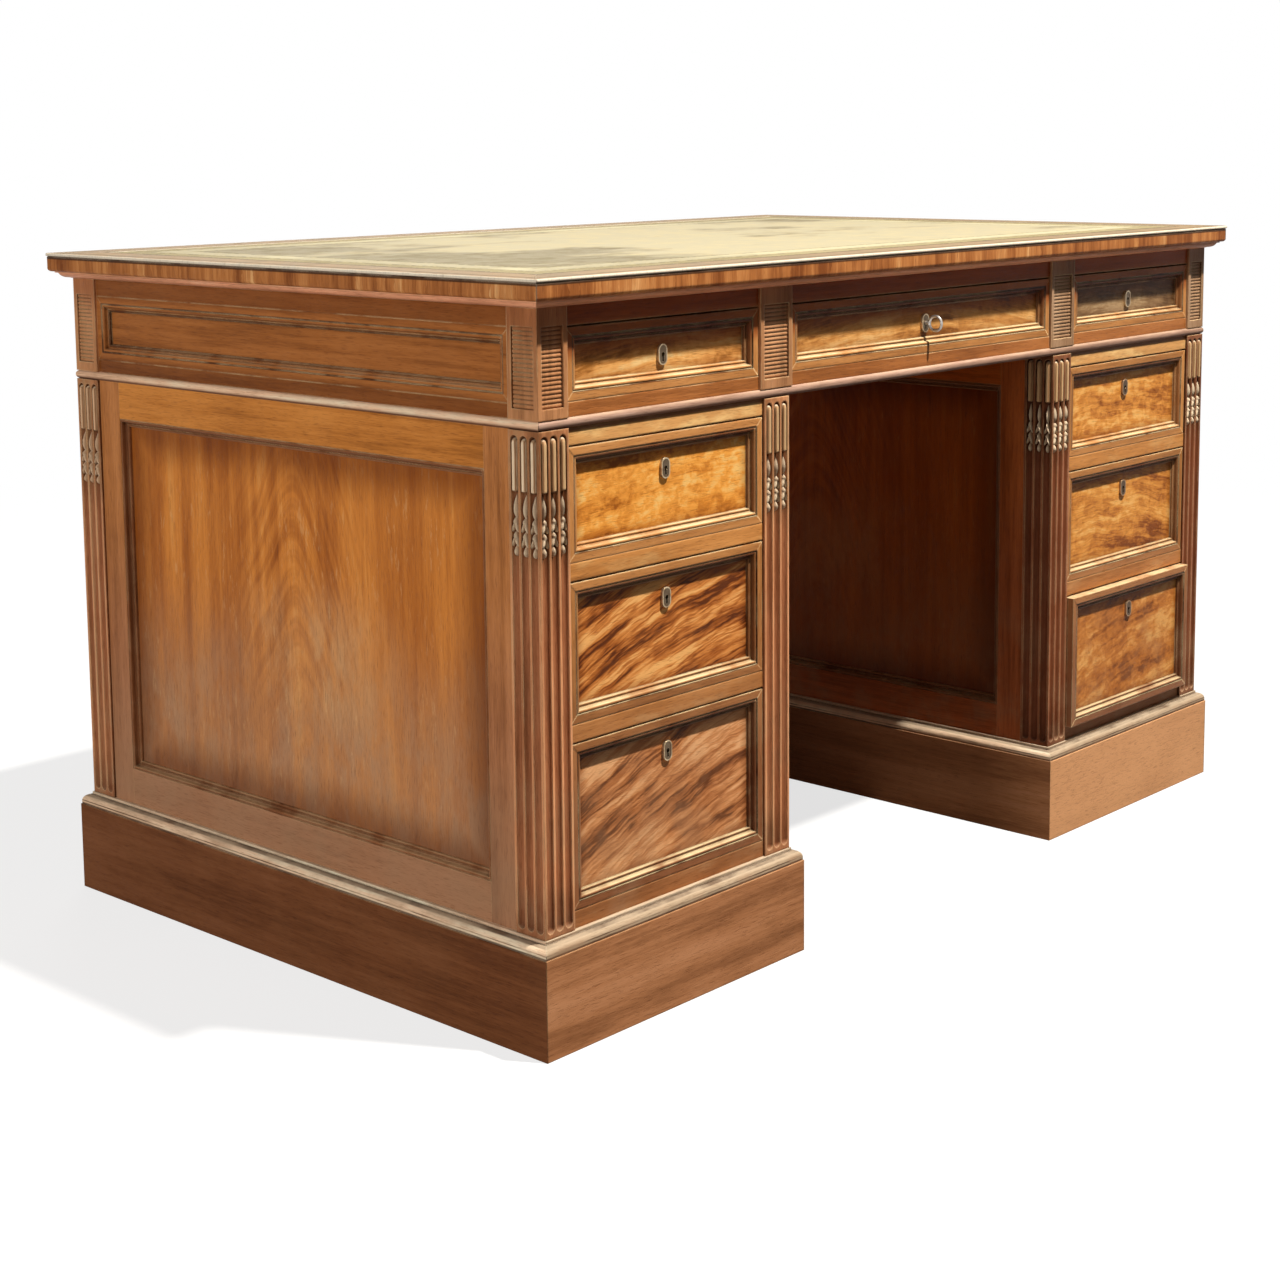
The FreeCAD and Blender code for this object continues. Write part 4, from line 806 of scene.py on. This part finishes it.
def veneer(place, x, z, seed, browns, marks, rise, wander, stripes, mottled, lined):
    """The colour of a figured veneer: sloping stripes with dark lines, mottled across and clouded."""
    cos, sin = math.cos(math.radians(rise)), math.sin(math.radians(rise))
    cut = place.vector("ADD", (0.7 * seed, 0.0, 0.4 * seed))
    drift = (cut.noise(9.0, 3.0) - 0.5) * wander + (cut.noise(32.0, 2.0) - 0.5) * (wander * 0.35)
    along, over = (x * cos + z * sin) * 0.09 + 0.37 * seed, z * cos - x * sin + x * x * 0.5 + drift
    stripe_way = place.add("CombineXYZ", sockets={0: along, 1: 0.5, 2: over})
    stripe = stripe_way.noise(stripes, 4.0, 0.6).smooth(0.38, 0.62)
    hair = stripe_way.noise(stripes * 7.0, 2.0)
    lines = 1.0 - abs(stripe_way.noise(stripes * 1.9, 3.0, 0.6) - 0.5).smooth(0.0, 0.085)
    swirl = cut.noise(45.0, 2.0, out=1).vector("MULTIPLY", (0.016,) * 3)
    mottle = cut.vector("ADD", swirl).drawn(0.75, 1.0, 1.0).noise(85.0, 4.0, 0.6).smooth(0.36, 0.64)
    cloud = cut.noise(8.0, 2.0).smooth(0.3, 0.7)
    field = stripe * (0.8 - mottled * 0.6) + mottle * mottled * 0.75 + (hair - 0.5) * 0.6 + cloud * 0.34
    return (field - lines * lined + lined * 0.24 - 0.04).ramp(tuple(zip(marks, browns)))


for seed, (title, log) in enumerate(VENEERS.items()):
    low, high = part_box(f"{title}_drawer_front")
    middle, half = (low + high) / 2, (high - low) / 2
    finish, place, facing = begin(f"{title}_drawer_veneer")
    height = place.parts()[2]
    x, y, z = place.vector("SUBTRACT", tuple(middle)).parts()
    from_side, from_edge = half.x - abs(x), half.z - abs(z)
    beside = from_side < from_edge
    in_from_edge = from_side.least(from_edge)
    planted = in_from_edge < PLANTED_WIDTH
    figure, pores = boards(place, (beside * planted).choose(run("x"), run("z")), 20.0 + seed)
    moulded = (figure * 0.6 + place.noise(20.0, 3.0) * 0.45 - 0.02).ramp(shades(PLANTED_BROWN))
    moulded = ((1.0 - height.smooth(*LOW_FRONT_TO)) * 0.85).shade(moulded, LOW_FRONT_SHADE)
    # Painted shade on the inner slopes of the upper and the right-hand mouldings.
    painted_shade_under_lip = (z > 0.0) * (1 - beside) * 0.85 + beside * (x > 0.0) * 0.6
    moulded = (painted_shade_under_lip * (in_from_edge > PLANTED_FLAT)).shade(moulded, UNDER_LIP_PAINTED_SHADE)
    quirk = 1.0 - abs(in_from_edge - PLANTED_FLAT).smooth(*PLANTED_QUIRK_HALF)
    moulded = (quirk * 0.8).shade(moulded, PLANTED_QUIRK)
    shaded = 1.0 - (in_from_edge - PLANTED_WIDTH).smooth(0.0, VENEER_EDGE_WIDTH)
    field = (shaded * 0.45).shade(veneer(place, x, z, seed, *log), VENEER_EDGE_SHADE)
    colour = planted.tint(field, moulded)
    # Painted shadow of the top over the upper part of the frieze fronts.
    colour = (height.smooth(*OVERHANG_SHADOW_FRONT_FROM) * 0.75).shade(colour, OVERHANG_PAINTED_SHADOW)
    old_polish(finish, place, facing, colour, figure, pores, shine=0.33, worn=0.8, dust_and_highlight=0.9,
               edge_wear_and_highlight=PLANTED_EDGE, dust_and_highlight_tone=PLANTED_DUST_AND_HIGHLIGHT)
    dress(finish, f"{title}_drawer_front")


# Drawer boxes. Thin quarter-sawn linings, dovetailed to the front and to the back, with a bottom
# that slides into the front. They are unpolished, darker along the top edges, where hands go.
LINING_BROWNS = ((0.0, (0.2, 0.105, 0.046)), (0.5, (0.36, 0.215, 0.105)), (1.0, (0.52, 0.34, 0.185)))
PIN_BROWN, HANDLED_BROWN, HANDLED_DEEP = (0.2, 0.08, 0.03), (0.2, 0.12, 0.06), 0.012
TAIL_LENGTH, TAIL_PITCH, PIN_NARROW, PIN_FLARE = 0.014, 0.034, 0.14, 6.0
BOX_BACK, BOX_FACE = 0.01, 0.0008   # thickness of the back, and how near to a face a pin shows

for title in VENEERS:
    low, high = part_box(f"{title}_drawer_box")
    middle, half = (low + high) / 2, (high - low) / 2
    finish, place, facing = begin(f"{title}_drawer_lining")
    x, y, z = place.parts()
    at_back = y > high.y - BOX_BACK
    figure, pores = boards(place, at_back.choose(run("y"), run("x")), 30.0)
    colour = (figure * 0.7 + place.noise(7.0, 3.0) * 0.35 - 0.02).ramp(LINING_BROWNS)
    from_pin = abs(((z - low.z) / TAIL_PITCH).math("FRACT") - 0.5)
    from_front = y - low.y
    pin = (from_pin < (PIN_NARROW + from_front * PIN_FLARE)) * (from_front < TAIL_LENGTH)
    pin = pin * (abs(x - middle.x) > half.x - BOX_FACE)
    colour = (pin * 0.75).tint(colour, PIN_BROWN)
    colour = (z.smooth(high.z - HANDLED_DEEP, high.z) * 0.45).tint(colour, HANDLED_BROWN)
    old_polish(finish, place, facing, colour, figure, pores, shine=0.58, worn=0.25, dust_and_highlight=0.15)
    dress(finish, f"{title}_drawer_box")


# Locks. A brass case is screwed behind each front, and a small brass plate with a keyhole shows in
# the veneer. The brass has dulled to brown, and fingers keep its edges bright.
PLATE_HALF_WIDTH, PLATE_HALF_LENGTH, KEYHOLE_DROP = 0.0065, 0.011, 0.038
RIM_BRASS, RIM_BROWN, RIM_WIDTH = (0.6, 0.47, 0.3), (0.36, 0.22, 0.12), (0.0009, 0.0017)
DULL_BRASS, BRASS_SPOT, PLATE_DARK = (0.3, 0.2, 0.11), (0.16, 0.11, 0.06), (0.055, 0.028, 0.014)
METAL_RADIUS, METAL_REACH, METAL_RELIEF, METAL_DIRT = 0.0006, 0.004, 0.0003, (0.05, 0.03, 0.015)


def metal(name, bright, dull, spot, rough, edge_bright, plate=None):
    """Old metal with dull patches, pits and bright edges. A plate is dark inside its rim."""
    finish, place, facing = begin(name)
    patches = place.noise(130.0, 4.0, 0.6).smooth(0.35, 0.68)
    specks = place.noise(900.0, 3.0).smooth(0.58, 0.72)
    soft, edge = edges(place, facing, METAL_RADIUS, 0.02, 0.3)
    corner = 1.0 - place.add("AmbientOcclusion", {"samples": 6, "only_local": True},
                             {"Distance": METAL_REACH}, 1)
    colour = (specks * 0.6).tint(patches.tint(bright, dull), spot)
    if plate:
        x, y, z = place.vector("SUBTRACT", plate).parts()
        rise = (abs(z) - (PLATE_HALF_LENGTH - PLATE_HALF_WIDTH)).most(0.0)
        from_rim = PLATE_HALF_WIDTH - (x * x + rise * rise).math("SQRT")
        colour = (from_rim.smooth(*RIM_WIDTH) * 0.85).tint(colour, PLATE_DARK)
    colour = (edge * 0.8).tint(colour, edge_bright)
    colour = corner.smooth(0.1, 0.7).tint(colour, METAL_DIRT)
    scratches = place.drawn(1.0, 1.0, 0.08).noise(1400.0, 2.0)
    normal = place.add("Bump", sockets={"Strength": 0.25, "Distance": METAL_RELIEF,
                                        "Height": scratches - specks * 0.6, "Normal": soft})
    rough = patches * 0.18 + specks * 0.2 - edge * 0.08 + rough
    close(finish, place, colour, rough, normal, {"Metallic": 0.9})
    return finish


for title in VENEERS:
    low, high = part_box(f"{title}_drawer_front")
    keyhole = ((low.x + high.x) / 2, 0.0, high.z - KEYHOLE_DROP)
    rim = RIM_BROWN if title.startswith("right") else RIM_BRASS
    brass = metal(f"{title}_dull_brass", rim, DULL_BRASS, BRASS_SPOT, 0.34, rim, keyhole)
    dress(brass, f"{title}_drawer_lock")


# Bolts and key. Filed from iron bar: grey, with brown rust in the pits. The key waits in the lock
# of the middle frieze drawer, its bow worn bright by hands.
IRON, DULL_IRON = (0.55, 0.53, 0.5), (0.3, 0.27, 0.24)
RUST, WORN_IRON = (0.18, 0.09, 0.045), (0.78, 0.76, 0.72)
dress(metal("filed_iron", IRON, DULL_IRON, RUST, 0.32, WORN_IRON),
      "desk_key", *[f"{title}_drawer_bolt" for title in VENEERS])


# Floor. A pale studio floor that runs out of sight in every direction. It is white to the eye and in
# metal, dull to the light that it sends back under the desk, and the desk's soft shadow lies on it.
FLOOR_HALF, FLOOR_STEPS = 14.0, 8
FLOOR_DULL, FLOOR_PALE = (0.12, 0.11, 0.1), (0.86, 0.86, 0.86)
WHITE, SHADOW_KEPT, SHADOW_GONE_FROM = (1.0, 1.0, 1.0), 0.26, (0.9, 3.4)


def seen_by_eye(place):
    """Whether a surface is seen straight, or by way of metal or glass."""
    straight, by_metal, by_glass = [place.add("LightPath", out=f"Is {ray} Ray")
                                    for ray in ("Camera", "Glossy", "Transmission")]
    return straight.most(by_metal).most(by_glass)


finish, place, facing = begin("studio_floor")
seen = seen_by_eye(place)
far = place.vector("LENGTH", out=1).smooth(*SHADOW_GONE_FROM)
paint = place.add("BsdfDiffuse", sockets={"Color": seen.tint(FLOOR_DULL, FLOOR_PALE),
                                          "Roughness": place.noise(3.0, 3.0) * 0.2 + 0.4})
glow = place.add("Emission", sockets={"Color": WHITE, "Strength": 1.0})
whiter = seen * (far * SHADOW_KEPT + (1.0 - SHADOW_KEPT))
mixed = place.add("MixShader", sockets={0: whiter, 1: paint, 2: glow})
place.add("OutputMaterial", sockets={"Surface": mixed})

shape = bmesh.new()
bmesh.ops.create_grid(shape, x_segments=FLOOR_STEPS, y_segments=FLOOR_STEPS, size=FLOOR_HALF)
mesh = bpy.data.meshes.new("studio_floor")
shape.to_mesh(mesh)
shape.free()
mesh.materials.append(finish)
floor = bpy.data.objects.new("studio_floor", mesh)
bpy.context.scene.collection.objects.link(floor)


# Light. A softbox stands high in front of the desk and to its right, so the top shades the frieze.
# Wide weak ones lift the left end and the back, and a dim room fills the rest.
DIM_ROOM, DIM_LEVEL = (1.0, 0.98, 0.95), 0.09


def softbox(name, place, aim, size, power, colour):
    lamp = bpy.data.lights.new(name, "AREA")
    lamp.shape, lamp.size, lamp.energy, lamp.color = "DISK", size, power, colour
    stand = bpy.data.objects.new(name, lamp)
    stand.location = place
    stand.rotation_mode = "QUATERNION"
    stand.rotation_quaternion = (Vector(aim) - Vector(place)).to_track_quat("-Z", "Y")
    bpy.context.scene.collection.objects.link(stand)


softbox("front_softbox", place=(0.3, -2.06, 4.5), aim=(0.0, -0.2, 0.4), size=0.16, power=410.0,
        colour=(1.0, 0.965, 0.9))
softbox("end_softbox", place=(-3.9, -0.3, 1.0), aim=(-0.6, 0.0, 0.4), size=1.6, power=70.0,
        colour=(1.0, 0.97, 0.93))
softbox("back_softbox", place=(2.4, 3.4, 2.2), aim=(0.2, 0.0, 0.4), size=2.4, power=90.0,
        colour=(1.0, 0.98, 0.95))

room = bpy.data.worlds.new("studio_room")
room.use_nodes = True
room.node_tree.nodes.clear()
air = Tone(room.node_tree)
white = air.add("Background", sockets={"Color": WHITE, "Strength": 1.0})
dim = air.add("Background", sockets={"Color": DIM_ROOM, "Strength": DIM_LEVEL})
walls = air.add("MixShader", sockets={0: seen_by_eye(air), 1: dim, 2: white})
air.add("OutputWorld", sockets={"Surface": walls})
bpy.context.scene.world = room


# Camera. It looks at the front left corner from a little over the height of the top, as the
# photograph does, with the lens slid down to keep the posts nearly upright.
CAMERA_PLACE = Vector((-2.155, -1.8911, 0.9167))
YAW, PITCH, ROLL = math.radians(47.61), math.radians(7.462), math.radians(-0.516)
SENSOR_WIDTH, FOCAL_LENGTH, LENS_SLIDE = 36.0, 62.473, -0.17

lens = bpy.data.cameras.new("photo_camera")
lens.sensor_width, lens.lens, lens.shift_y = SENSOR_WIDTH, FOCAL_LENGTH, LENS_SLIDE
camera = bpy.data.objects.new("photo_camera", lens)
ahead = Vector((math.sin(YAW) * math.cos(PITCH), math.cos(YAW) * math.cos(PITCH), -math.sin(PITCH)))
right = Vector((math.cos(YAW), -math.sin(YAW), 0.0))
up = right.cross(ahead)
right, up = (right * math.cos(ROLL) + up * math.sin(ROLL), up * math.cos(ROLL) - right * math.sin(ROLL))
camera.matrix_world = Matrix.Translation(CAMERA_PLACE) @ Matrix((right, up, -ahead)).transposed().to_4x4()
bpy.context.scene.collection.objects.link(camera)
bpy.context.scene.camera = camera
bpy.context.scene.view_settings.view_transform = "Standard"
